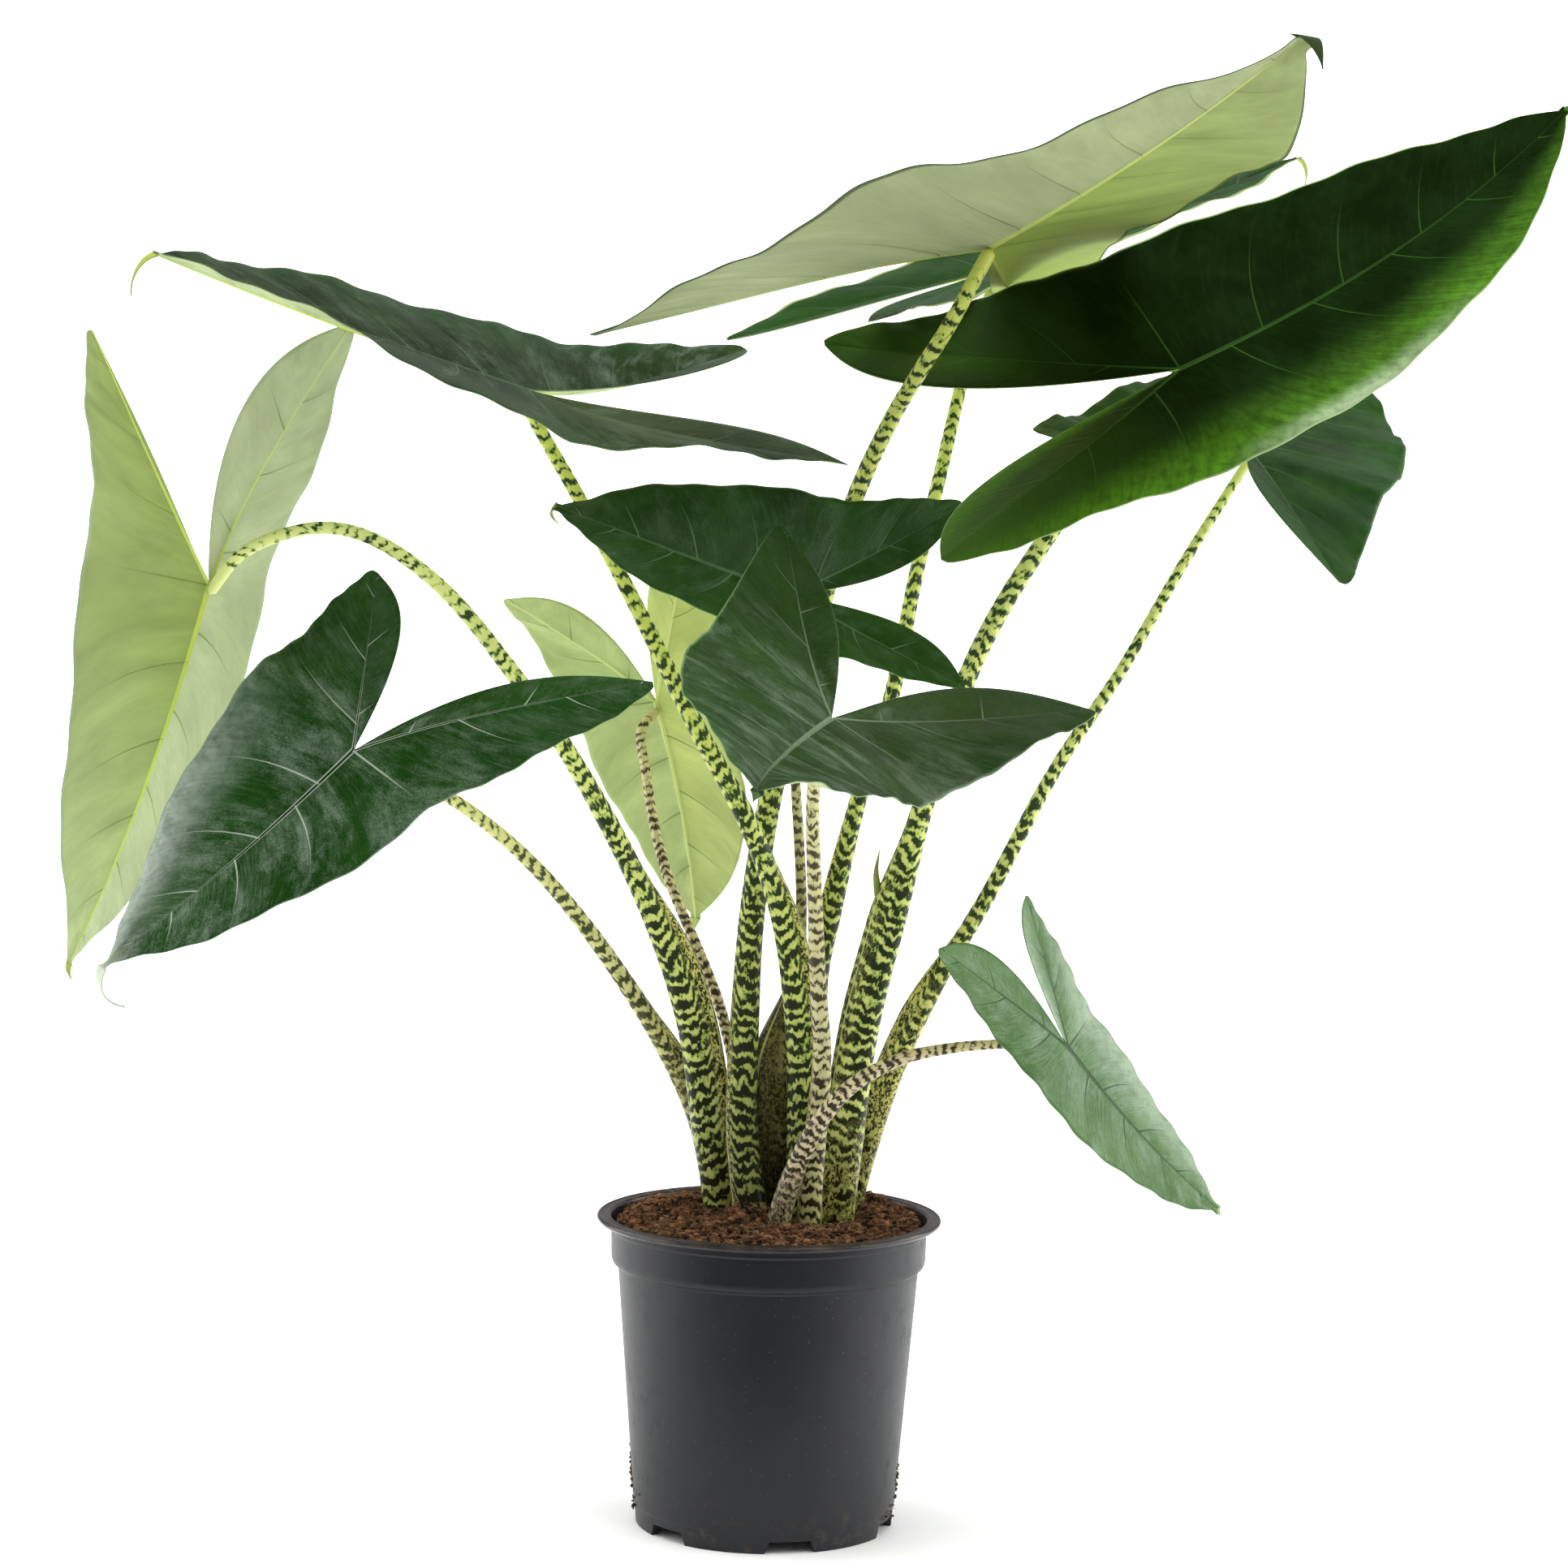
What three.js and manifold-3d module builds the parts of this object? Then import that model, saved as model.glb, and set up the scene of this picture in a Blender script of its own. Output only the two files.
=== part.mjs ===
// A potted Alocasia zebrina: eleven arrow-shaped leaves on banded stalks, peat soil, a nursery pot.
// Millimetres, +Z up, -Y is the front. The pot axis is the line x = 0, y = 0 until the last step,
// which moves everything so that the origin lies under the middle of the whole plant.
import * as THREE from "three";
import { mergeVertices } from "three/addons/utils/BufferGeometryUtils.js";
import Module from "manifold-3d";

const wasm = await Module();
wasm.setup();

// Clearance kept between two pieces that touch on the real plant.
const GAP = 0.3;

// Nursery pot, an injection-moulded cup with a rolled lip, a collar and a foot ring.
const LIP_RADIUS = 105;
const LIP_INNER_RADIUS = 98;
const LIP_TOP = 190;
const LIP_DEPTH = 4.5;
const COLLAR_RADIUS = 96;
const COLLAR_BOTTOM = 159;
const LEDGE_RADIUS = 92;
const SKIRT_TOP = 13;
const SKIRT_RADIUS = 80;
const FOOT_RADIUS = 78.5;
const FOOT_INNER_RADIUS = 74.5;
const FLOOR_RADIUS = 72;
const POT_WALL = 2.5;
const FLOOR_BOTTOM = 8;
const FLOOR_TOP = 10.5;
const POT_SEGMENTS = 40;

// Six drainage notches in the foot ring, each with one slanted side, and six holes in the floor.
const SLOT_COUNT = 6;
const SLOT_WIDTH = 20;
const SLOT_HEIGHT = 7.5;
const SLOT_BEVEL = 5;
const SLOT_FIRST_ANGLE = 11;
const DRAIN_HOLE = [12, 9];
const DRAIN_RADIUS = 66;

// Peat soil, a little lower than the lip and heaped towards the stalks.
const SOIL_EDGE_TOP = 182;
const SOIL_HEAP = [
  [84, 184],
  [66, 187],
  [46, 189],
  [24, 190],
];
const SOIL_MIDDLE_TOP = 191;
const SOIL_ROUGHNESS = 0.8;
const SOIL_SEGMENTS = 32;

// Leaf blades. The long front runs from the junction with the stalk to the tip, and two lobes run back.
const BLADE_THICKNESS = 1;
const RIB_HEIGHT = 1.8;
const FRONT_ROWS = 9;
const LOBE_ROWS = 7;
const ACROSS = [0, 0.07, 0.5, 1];
const ACROSS_INNER = [0, 0.2, 1];
const TAIL_ROWS = 3;
const TAIL_HALF_WIDTH = 1.3;
const TAIL_RIDGE = 0.2;
const TAIL_END_SHARE = 0.25;
const CURL = -8;
const CURL_TIP_SHARE = 0.5;
const RIB_TIP_SHARE = 0.2;
const LOBE_RIB_SHARE = 0.8;
const CURVE_STEPS = 4;

// Angle in degrees at which the lines across a blade leave their rib, at its start and at its end.
const FRONT_HEADING = [88, 54];
const LOBE_HEADING = [88, 108];
const SINUS_HEADING = [62, 50];

// How late the blade's bends come on along a rib, as powers, and where the margin's waves fade out.
const ARCH_POWER = 1.5;
const FOLD_POWER = 1.3;
const DROP_POWER = 2.2;
const LOBE_FOLD_REACH = 0.6;
const WAVE_FADE = [0.1, 0.88];

// One entry for each leaf. Lengths are in millimetres and angles in degrees, and a pair is [left, right].
// at: the junction. azimuth, pitch, roll: where the front points and how the blade leans.
// length: junction to tip. arch, bend: how far the midrib curves down and sideways on the way.
// lobe, half, inner: length of the back lobes, half width of the blade, width inside the lobe ribs.
// spread, drop: angle of the lobe ribs to the midrib's line, and how far they bend down.
// fold, foldTip, foldLobe, foldInner: how steeply each half rises at junction, tip, lobe and sinus.
// wave: height of the margin's waves and how many there are. tail: length of the drip tip and its hook.
const LEAVES = {
  leaf_1: {
    at: [118, -29, 776], azimuth: -61, pitch: 14, roll: 5, length: 326, arch: -7, bend: -2,
    lobe: [237, 248], half: [103, 111], inner: [16, 66], spread: [41, 45], drop: [4, 9],
    fold: [19, 9], foldTip: [-24, -20], foldLobe: [28, 2], foldInner: [6, 15],
    wave: [5, 3.2], tail: [32, 90],
  },
  leaf_2: {
    at: [235, -22, 707], azimuth: 14, pitch: 25, roll: -35, length: 289, arch: -22, bend: 7,
    lobe: [221, 213], half: [98, 98], inner: [63, 52], spread: [41, 21], drop: [-4, -5],
    fold: [19, 4], foldTip: [12, 1], foldLobe: [9, 6], foldInner: [17, -16],
    wave: [2, 4.4], tail: [8, 20],
  },
  leaf_3: {
    at: [-155, 0, 688], azimuth: -148, pitch: 15, roll: 20, length: 252, arch: -4, bend: 4,
    lobe: [199, 214], half: [83, 86], inner: [46, 51], spread: [25, 28], drop: [-15, -21],
    fold: [1, 14], foldTip: [26, 8], foldLobe: [10, 7], foldInner: [8, 28],
    wave: [2, 4.1], tail: [32, 120],
  },
  leaf_4: {
    at: [-341, -30, 568], azimuth: -179, pitch: -75, roll: -38, length: 241, arch: -7, bend: 8,
    lobe: [198, 179], half: [83, 76], inner: [4, 50], spread: [50, 5], drop: [4, 19],
    fold: [18, 21], foldTip: [-11, 11], foldLobe: [12, 13], foldInner: [7, -3],
    wave: [3, 3.3], tail: [12, 70],
  },
  leaf_5: {
    at: [-245, -110, 476], azimuth: -151, pitch: -42, roll: 29, length: 188, arch: -6, bend: -5,
    lobe: [178, 136], half: [68, 79], inner: [26, 26], spread: [34, 41], drop: [14, 0],
    fold: [-2, 25], foldTip: [14, -28], foldLobe: [-13, 14], foldInner: [-5, 8],
    wave: [2, 4.2], tail: [44, 130],
  },
  leaf_6: {
    at: [6, -20, 569], azimuth: -174, pitch: 18, roll: 51, length: 149, arch: 5, bend: -7,
    lobe: [119, 128], half: [47, 64], inner: [26, 21], spread: [16, 47], drop: [-7, -14],
    fold: [14, 25], foldTip: [5, -14], foldLobe: [21, 20], foldInner: [0, 7],
    wave: [2, 3.4], tail: [18, 150],
  },
  leaf_7: {
    at: [30, -176, 504], azimuth: -109, pitch: -9, roll: 28, length: 243, arch: -18, bend: 14,
    lobe: [201, 196], half: [79, 86], inner: [42, 25], spread: [32, 34], drop: [-11, -14],
    fold: [0, 11], foldTip: [38, 28], foldLobe: [9, 6], foldInner: [0, 12],
    wave: [2, 4.3], tail: [8, 60],
  },
  leaf_8: {
    at: [130, 152, 773], azimuth: 27, pitch: 18, roll: -3, length: 246, arch: -5, bend: 0,
    lobe: [176, 178], half: [83, 81], inner: [51, 24], spread: [34, 34], drop: [3, -5],
    fold: [11, 9], foldTip: [8, 7], foldLobe: [13, 4], foldInner: [4, 6],
    wave: [2, 3.6], tail: [22, 130],
  },
  leaf_9: {
    at: [292, 90, 660], azimuth: 65, pitch: 9, roll: -25, length: 252, arch: -6, bend: 6,
    lobe: [179, 185], half: [85, 88], inner: [50, 48], spread: [29, 38], drop: [2, 3],
    fold: [11, 12], foldTip: [8, -2], foldLobe: [2, 4], foldInner: [6, 19],
    wave: [3, 4.5], tail: [18, 90],
  },
  leaf_10: {
    at: [-79, 150, 494], azimuth: 56, pitch: -63, roll: 10, length: 164, arch: 0, bend: 12,
    lobe: [117, 134], half: [58, 62], inner: [29, 27], spread: [41, 26], drop: [12, 4],
    fold: [-4, -16], foldTip: [3, 19], foldLobe: [10, 10], foldInner: [-2, 17],
    wave: [2, 3.5], tail: [10, 40],
  },
  leaf_11: {
    at: [174, -80, 307], azimuth: 11, pitch: -51, roll: -45, length: 135, arch: -9, bend: 7,
    lobe: [98, 105], half: [43, 48], inner: [24, 27], spread: [39, 17], drop: [3, 5],
    fold: [1, 6], foldTip: [3, -2], foldLobe: [3, 2], foldInner: [12, 1],
    wave: [1, 3.4], tail: [6, 40],
  },
};

// Leaf stalks. Each rises from the soil through the listed points and ends under its blade's junction.
// radius: at the foot and at the top. sheath: how far the wing stands out at the foot, the share of
// the stalk that it covers, and the side that it faces.
const STALK_FOOT = 150;
const STALK_TAPER_POWER = 1.4;
const SHEATH_FADE = 0.12;
const STALK_STEPS = 20;
const STALK_SIDES = 10;
const THIN_STALK_SIDES = 8;
const THIN_STALK_RADIUS = 5;
const JUNCTION_CLEARANCE = 1.6;
const JUNCTION_SETBACK = 5;
const RIGHT = [1, 0, 0];
const LEFT = [-1, 0, 0];
const FRONT = [0, -1, 0];
const UP_RIGHT = [0.5, 0, 0.85];
const STALKS = {
  petiole_1: {
    radius: [10.5, 4.4], sheath: [2, 0.3, LEFT],
    path: [[-11, -8, 189], [-17, -4, 243], [-17, 2, 304], [-14, 12, 372], [-4, 24, 444],
      [19, 26, 539], [41, 25, 619], [62, -4, 670], [80, -36, 703],
      [97, -40, 731]],
  },
  petiole_2: {
    radius: [9.5, 4.8], sheath: [8, 0.52, LEFT],
    path: [[43, 10, 186], [48, 6, 234], [57, -2, 307], [73, -12, 377], [89, -16, 447],
      [120, -22, 539], [160, -34, 610], [197, -42, 660], [218, -22, 686]],
  },
  petiole_3: {
    radius: [9.5, 4], sheath: [6, 0.46, RIGHT],
    path: [[18, -6, 189], [18, -6, 244], [15, -6, 305], [4, -8, 374], [-17, -10, 430],
      [-48, -8, 485], [-94, 0, 572], [-125, 6, 627], [-147, 8, 664]],
  },
  petiole_4: {
    radius: [10, 3.4], sheath: [5, 0.4, UP_RIGHT],
    path: [[-31, 12, 193], [-40, 10, 241], [-51, 6, 306], [-76, 0, 376], [-117, -8, 455],
      [-156, -16, 513], [-205, -24, 571], [-248, -30, 599], [-279, -34, 603], [-319, -38, 588]],
  },
  petiole_5: {
    radius: [8, 3.4], sheath: [6, 0.4, RIGHT],
    path: [[-34, 34, 191], [-45, 28, 243], [-66, 20, 289], [-96, 6, 338], [-125, -12, 379],
      [-153, -34, 412], [-187, -66, 443], [-216, -92, 461]],
  },
  petiole_6: {
    radius: [4.5, 2.8], sheath: [12, 0.4, LEFT],
    path: [[12, 16, 194], [14, 14, 285], [16, 14, 379], [11, 14, 454], [7, 10, 509]],
  },
  petiole_7: {
    radius: [7.5, 3.4], sheath: [1.5, 0.4, LEFT],
    path: [[24, -28, 190], [27, -34, 239], [30, -44, 291], [27, -56, 332], [24, -74, 382],
      [21, -116, 461]],
  },
  petiole_8: {
    radius: [7.5, 3.8], sheath: [5, 0.45, LEFT],
    path: [[26, 28, 198], [27, 32, 269], [28, 36, 334], [35, 40, 370], [50, 46, 441],
      [68, 52, 499], [84, 62, 584], [98, 78, 645], [111, 104, 701], [124, 134, 742]],
  },
  petiole_9: {
    radius: [7.5, 3], sheath: [5, 0.38, LEFT],
    path: [[51, 36, 191], [74, 32, 271], [98, 30, 326], [132, 38, 386], [171, 50, 461],
      [211, 62, 522], [251, 76, 592]],
  },
  petiole_10: {
    radius: [4.2, 3], sheath: [1, 0.3, RIGHT],
    path: [[-9, 40, 195], [-32, 62, 304], [-64, 86, 377], [-69, 92, 389], [-78, 106, 419],
      [-84, 120, 450], [-88, 134, 476]],
  },
  petiole_11: {
    radius: [8.5, 2.3], sheath: [1.5, 0.25, FRONT],
    path: [[6, -34, 192], [13, -44, 220], [29, -58, 257], [48, -64, 280], [76, -70, 297],
      [102, -73, 304], [123, -75, 307], [139, -77, 308]],
  },
};

const radians = THREE.MathUtils.degToRad;
const vec = (list) => new THREE.Vector3(...list);
const clamp01 = (x) => Math.min(1, Math.max(0, x));
const mix = (a, b, t) => a + (b - a) * t;
const smooth = (x, from, to) => THREE.MathUtils.smoothstep(x, from, to);

// A mesh geometry as a solid, and the solid back as a geometry.
function solidOf(geometry) {
  const bare = geometry.clone();
  bare.deleteAttribute("normal");
  bare.deleteAttribute("uv");
  const merged = mergeVertices(bare, 1e-4);
  return new wasm.Manifold(
    new wasm.Mesh({
      numProp: 3,
      vertProperties: new Float32Array(merged.attributes.position.array),
      triVerts: new Uint32Array(merged.index.array),
    }),
  );
}

function geometryOf(solid) {
  const mesh = solid.getMesh();
  const geometry = new THREE.BufferGeometry();
  geometry.setAttribute("position", new THREE.BufferAttribute(mesh.vertProperties, 3));
  geometry.setIndex(new THREE.BufferAttribute(mesh.triVerts, 1));
  geometry.computeVertexNormals();
  return geometry;
}

// The largest of the bodies that a cut leaves.
function mainBody(solid) {
  const bodies = solid.decompose();
  bodies.sort((a, b) => b.volume() - a.volume());
  return bodies[0];
}

// Axes of a blade as columns: x to the tip, y to the leaf's own left, z out of the upper face.
function bladeFrame(leaf) {
  const azimuth = radians(leaf.azimuth);
  const pitch = radians(leaf.pitch);
  const roll = radians(leaf.roll);
  const forward = new THREE.Vector3(
    Math.cos(pitch) * Math.cos(azimuth),
    Math.cos(pitch) * Math.sin(azimuth),
    Math.sin(pitch),
  );
  const level = new THREE.Vector3(-Math.sin(azimuth), Math.cos(azimuth), 0);
  const above = forward.clone().cross(level);
  const left = level.clone().multiplyScalar(Math.cos(roll)).addScaledVector(above, -Math.sin(roll));
  const up = above.clone().multiplyScalar(Math.cos(roll)).addScaledVector(level, Math.sin(roll));
  return new THREE.Matrix4().makeBasis(forward, left, up);
}

// Half widths as a share of the greatest: front from junction to tip, lobe, and inside the lobe rib.
const frontWidth = (u) => Math.pow(Math.max(1 - u, 0), 0.9) * (1 + 0.75 * u);
const lobeWidth = (v) => Math.pow(Math.max(1 - v, 0), 0.8) * (1 - 0.15 * v);
const innerWidth = (v) => Math.max(Math.sin(Math.PI * v), 0);

// Points along a rib that starts at the junction, from its direction at each small step.
function ribPath(turnAt, direction, length, rows) {
  const steps = rows * CURVE_STEPS;
  const points = [new THREE.Vector3()];
  const turns = [turnAt(0)];
  let point = new THREE.Vector3();
  let before = direction.clone().applyMatrix4(turns[0]);
  for (let i = 1; i <= steps; i++) {
    const turn = turnAt(i / steps);
    const after = direction.clone().applyMatrix4(turn);
    point = point.clone().addScaledVector(before.clone().add(after), length / steps / 2);
    before = after;
    if (i % CURVE_STEPS === 0) {
      points.push(point);
      turns.push(turn);
    }
  }
  return { points, turns };
}

// One line of points from a rib out to the margin, bent by an even curl.
function rayFrom(start, turn, heading, side, rise, curl, width, shares, wave) {
  const outward = new THREE.Vector3(Math.cos(heading), side * Math.sin(heading), 0);
  outward.applyMatrix4(turn);
  const up = new THREE.Vector3(0, 0, 1).applyMatrix4(turn);
  const bend = Math.abs(curl) < 1e-4 ? 1e-4 : curl;
  return shares.map((t) => {
    const along = (Math.sin(rise + bend * t) - Math.sin(rise)) / bend;
    const lift = (Math.cos(rise) - Math.cos(rise + bend * t)) / bend;
    return start
      .clone()
      .addScaledVector(outward, width * along)
      .addScaledVector(up, width * lift + wave * t * t);
  });
}

// The blade as one closed sheet with a ridge under each rib. grow widens it on both faces.
function bladeGeometry(leaf, grow) {
  const places = [];
  const ridges = [];
  const faces = [];
  const addPoint = (place, ridge) => {
    places.push(place);
    ridges.push(ridge);
    return places.length - 1;
  };
  const [waveHeight, waveCount] = leaf.wave;
  const wavePhase = leaf.length;
  const waveAt = (s, side) =>
    waveHeight * Math.sin(Math.PI * 2 * waveCount * s + wavePhase + side) *
    smooth(s, 0, WAVE_FADE[0]) * (1 - smooth(s, WAVE_FADE[1], 1));

  const [tailLength, tailHook] = leaf.tail;
  const midTurn = (u) =>
    new THREE.Matrix4()
      .makeRotationZ(radians(leaf.bend) * u)
      .multiply(new THREE.Matrix4().makeRotationY(radians(leaf.arch) * Math.pow(u, ARCH_POWER)));
  const mid = ribPath(midTurn, vec(RIGHT), leaf.length, FRONT_ROWS);
  const tipTurn = midTurn(1);
  const tailTurn = (u) =>
    tipTurn.clone().multiply(new THREE.Matrix4().makeRotationY(radians(tailHook) * Math.sqrt(u)));
  const tail = ribPath(tailTurn, vec(RIGHT), tailLength, TAIL_ROWS);
  const tipPlace = mid.points[FRONT_ROWS];
  const tailPoints = tail.points.map((p) => p.clone().add(tipPlace));

  const midIds = mid.points.map((p, k) =>
    addPoint(p, RIB_HEIGHT * mix(1, RIB_TIP_SHARE, k / FRONT_ROWS)),
  );
  const tailIds = tailPoints.slice(1).map((p) => addPoint(p, TAIL_RIDGE));

  const stitch = (rows, side) => {
    for (let i = 0; i + 1 < rows.length; i++) {
      for (let j = 0; j + 1 < rows[i].length; j++) {
        const a = rows[i][j];
        const b = rows[i + 1][j];
        const c = rows[i + 1][j + 1];
        const d = rows[i][j + 1];
        const quad = side > 0 ? [[a, c, b], [a, d, c]] : [[a, b, c], [a, c, d]];
        for (const face of quad) {
          if (new Set(face).size === 3) faces.push(face);
        }
      }
    }
  };

  [1, -1].forEach((side, index) => {
    const half = leaf.half[index];
    const spread = radians(leaf.spread[index]);
    const drop = radians(leaf.drop[index]);
    const fold = radians(leaf.fold[index]);
    const foldTip = radians(leaf.foldTip[index]);
    const foldLobe = radians(leaf.foldLobe[index]);
    const foldInner = radians(leaf.foldInner[index]);
    const curl = radians(CURL);
    const lobeShare = leaf.lobe[index] / (leaf.lobe[index] + leaf.length);

    // Outer side of the front, from the drip tip back to the junction.
    const rows = [];
    for (let k = TAIL_ROWS; k > 0; k--) {
      const reach = TAIL_HALF_WIDTH * mix(1, TAIL_END_SHARE, k / TAIL_ROWS) + grow;
      const line = rayFrom(tailPoints[k], tail.turns[k], Math.PI / 2, side, 0, 0, reach, ACROSS, 0);
      rows.push([tailIds[k - 1], ...line.slice(1).map((p) => addPoint(p, 0))]);
    }
    for (let k = FRONT_ROWS; k >= 0; k--) {
      const u = k / FRONT_ROWS;
      const reach = Math.max(half * frontWidth(u), TAIL_HALF_WIDTH) + grow;
      const rise = mix(fold, foldTip, Math.pow(u, FOLD_POWER));
      const wave = waveAt((1 - u) * (1 - lobeShare), side);
      const heading = radians(mix(FRONT_HEADING[0], FRONT_HEADING[1], u));
      const bent = curl * mix(1, CURL_TIP_SHARE, u);
      const line = rayFrom(mid.points[k], mid.turns[k], heading, side, rise, bent, reach, ACROSS, wave);
      rows.push([midIds[k], ...line.slice(1).map((p) => addPoint(p, 0))]);
    }

    // The lobe, outside its rib and inside towards the sinus.
    const backward = new THREE.Vector3(-Math.cos(spread), side * Math.sin(spread), 0);
    const hinge = new THREE.Vector3(0, 0, 1).cross(backward);
    const lobeTurn = (v) =>
      new THREE.Matrix4().makeRotationAxis(hinge, drop * (1 - Math.pow(1 - v, DROP_POWER)));
    const lobe = ribPath(lobeTurn, backward, leaf.lobe[index], LOBE_ROWS);
    const ribIds = lobe.points.map((p, k) =>
      k === 0 ? midIds[0] : addPoint(p, RIB_HEIGHT * LOBE_RIB_SHARE * (1 - k / LOBE_ROWS)),
    );
    const inner = [new Array(ACROSS_INNER.length).fill(midIds[0])];
    for (let k = 1; k <= LOBE_ROWS; k++) {
      const v = k / LOBE_ROWS;
      if (k === LOBE_ROWS) {
        rows.push(new Array(ACROSS.length).fill(ribIds[k]));
        inner.push(new Array(ACROSS_INNER.length).fill(ribIds[k]));
        continue;
      }
      const rise = mix(fold, foldLobe, smooth(v, 0, LOBE_FOLD_REACH));
      const reach = half * lobeWidth(v) + grow;
      const wave = waveAt(1 - lobeShare + v * lobeShare, side);
      const heading = radians(mix(LOBE_HEADING[0], LOBE_HEADING[1], v));
      const start = lobe.points[k];
      const turn = lobe.turns[k];
      const line = rayFrom(start, turn, heading, side, rise, curl, reach, ACROSS, wave);
      rows.push([ribIds[k], ...line.slice(1).map((p) => addPoint(p, 0))]);
      const inward = Math.PI - spread + radians(mix(SINUS_HEADING[0], SINUS_HEADING[1], v));
      const depth = leaf.inner[index] * innerWidth(v) + grow;
      const innerLine = rayFrom(start, turn, inward, side, foldInner, 0, depth, ACROSS_INNER, 0);
      inner.push([ribIds[k], ...innerLine.slice(1).map((p) => addPoint(p, 0))]);
    }
    stitch(rows, side);
    stitch(inner, -side);
  });

  // Upper and lower faces from the same triangles, and a narrow wall along the margin.
  const normals = places.map(() => new THREE.Vector3());
  for (const [a, b, c] of faces) {
    const ab = places[b].clone().sub(places[a]);
    const ac = places[c].clone().sub(places[a]);
    const normal = ab.cross(ac);
    for (const id of [a, b, c]) normals[id].add(normal);
  }
  const frame = bladeFrame(leaf).setPosition(vec(leaf.at));
  const count = places.length;
  const positions = new Float32Array(count * 6);
  places.forEach((place, id) => {
    const normal = normals[id].normalize();
    const above = place.clone().addScaledVector(normal, BLADE_THICKNESS / 2 + grow);
    const below = place.clone().addScaledVector(normal, -BLADE_THICKNESS / 2 - grow - ridges[id]);
    above.applyMatrix4(frame).toArray(positions, id * 3);
    below.applyMatrix4(frame).toArray(positions, (id + count) * 3);
  });
  const index = [];
  const edges = new Set();
  for (const [a, b, c] of faces) {
    index.push(a, b, c, a + count, c + count, b + count);
    for (const [p, q] of [[a, b], [b, c], [c, a]]) edges.add(`${p} ${q}`);
  }
  for (const edge of edges) {
    const [p, q] = edge.split(" ").map(Number);
    if (!edges.has(`${q} ${p}`)) index.push(q, p, p + count, q, p + count, q + count);
  }
  const geometry = new THREE.BufferGeometry();
  geometry.setAttribute("position", new THREE.BufferAttribute(positions, 3));
  geometry.setIndex(index);
  geometry.computeVertexNormals();
  return geometry;
}

// A stalk as a unit cylinder bent along its curve. The section is round, with the sheath's wing
// standing out on one side near the foot.
function stalkGeometry(stalk, leaf, grow) {
  const frame = bladeFrame(leaf);
  const under = new THREE.Vector3(JUNCTION_SETBACK, 0, grow - JUNCTION_CLEARANCE).applyMatrix4(frame);
  const end = vec(leaf.at).add(under);
  const first = vec(stalk.path[0]);
  const second = vec(stalk.path[1]);
  const slope = (STALK_FOOT - grow - first.z) / (second.z - first.z);
  const foot = first.clone().lerp(second, slope * 0.5);
  foot.z = STALK_FOOT - grow;
  const curve = new THREE.CatmullRomCurve3(
    [foot, ...stalk.path.map(vec), end],
    false,
    "centripetal",
  );
  const [wing, share, sideList] = stalk.sheath;
  const [footRadius, topRadius] = stalk.radius;
  const sides = footRadius < THIN_STALK_RADIUS ? THIN_STALK_SIDES : STALK_SIDES;
  const geometry = new THREE.CylinderGeometry(1, 1, 1, sides, STALK_STEPS);
  const rings = [];
  for (let i = 0; i <= STALK_STEPS; i++) {
    const s = i / STALK_STEPS;
    const tangent = i === 0 ? new THREE.Vector3(0, 0, 1) : curve.getTangentAt(s);
    const aside = vec(sideList);
    aside.addScaledVector(tangent, -aside.dot(tangent)).normalize();
    rings.push({
      centre: curve.getPointAt(s),
      aside,
      across: tangent.clone().cross(aside),
      radius: mix(topRadius, footRadius, Math.pow(1 - s, STALK_TAPER_POWER)) + grow,
      wing: wing * (1 - smooth(s, share - SHEATH_FADE, share)),
    });
  }
  const position = geometry.attributes.position;
  for (let i = 0; i < position.count; i++) {
    const x = position.getX(i);
    const z = position.getZ(i);
    const ring = rings[Math.round((position.getY(i) + 0.5) * STALK_STEPS)];
    const angle = Math.atan2(z, x);
    const reach = Math.hypot(x, z) * (ring.radius + ring.wing * Math.pow(clamp01(Math.cos(angle)), 2));
    const place = ring.centre
      .clone()
      .addScaledVector(ring.aside, reach * Math.cos(angle))
      .addScaledVector(ring.across, -reach * Math.sin(angle));
    position.setXYZ(i, place.x, place.y, place.z);
  }
  return geometry;
}

// A closed profile of [radius, height] points turned about the pot's axis.
function turned(profile, segments) {
  const points = profile.map(([r, z]) => new THREE.Vector2(r, z));
  return new THREE.LatheGeometry(points, segments).rotateX(Math.PI / 2);
}

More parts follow.
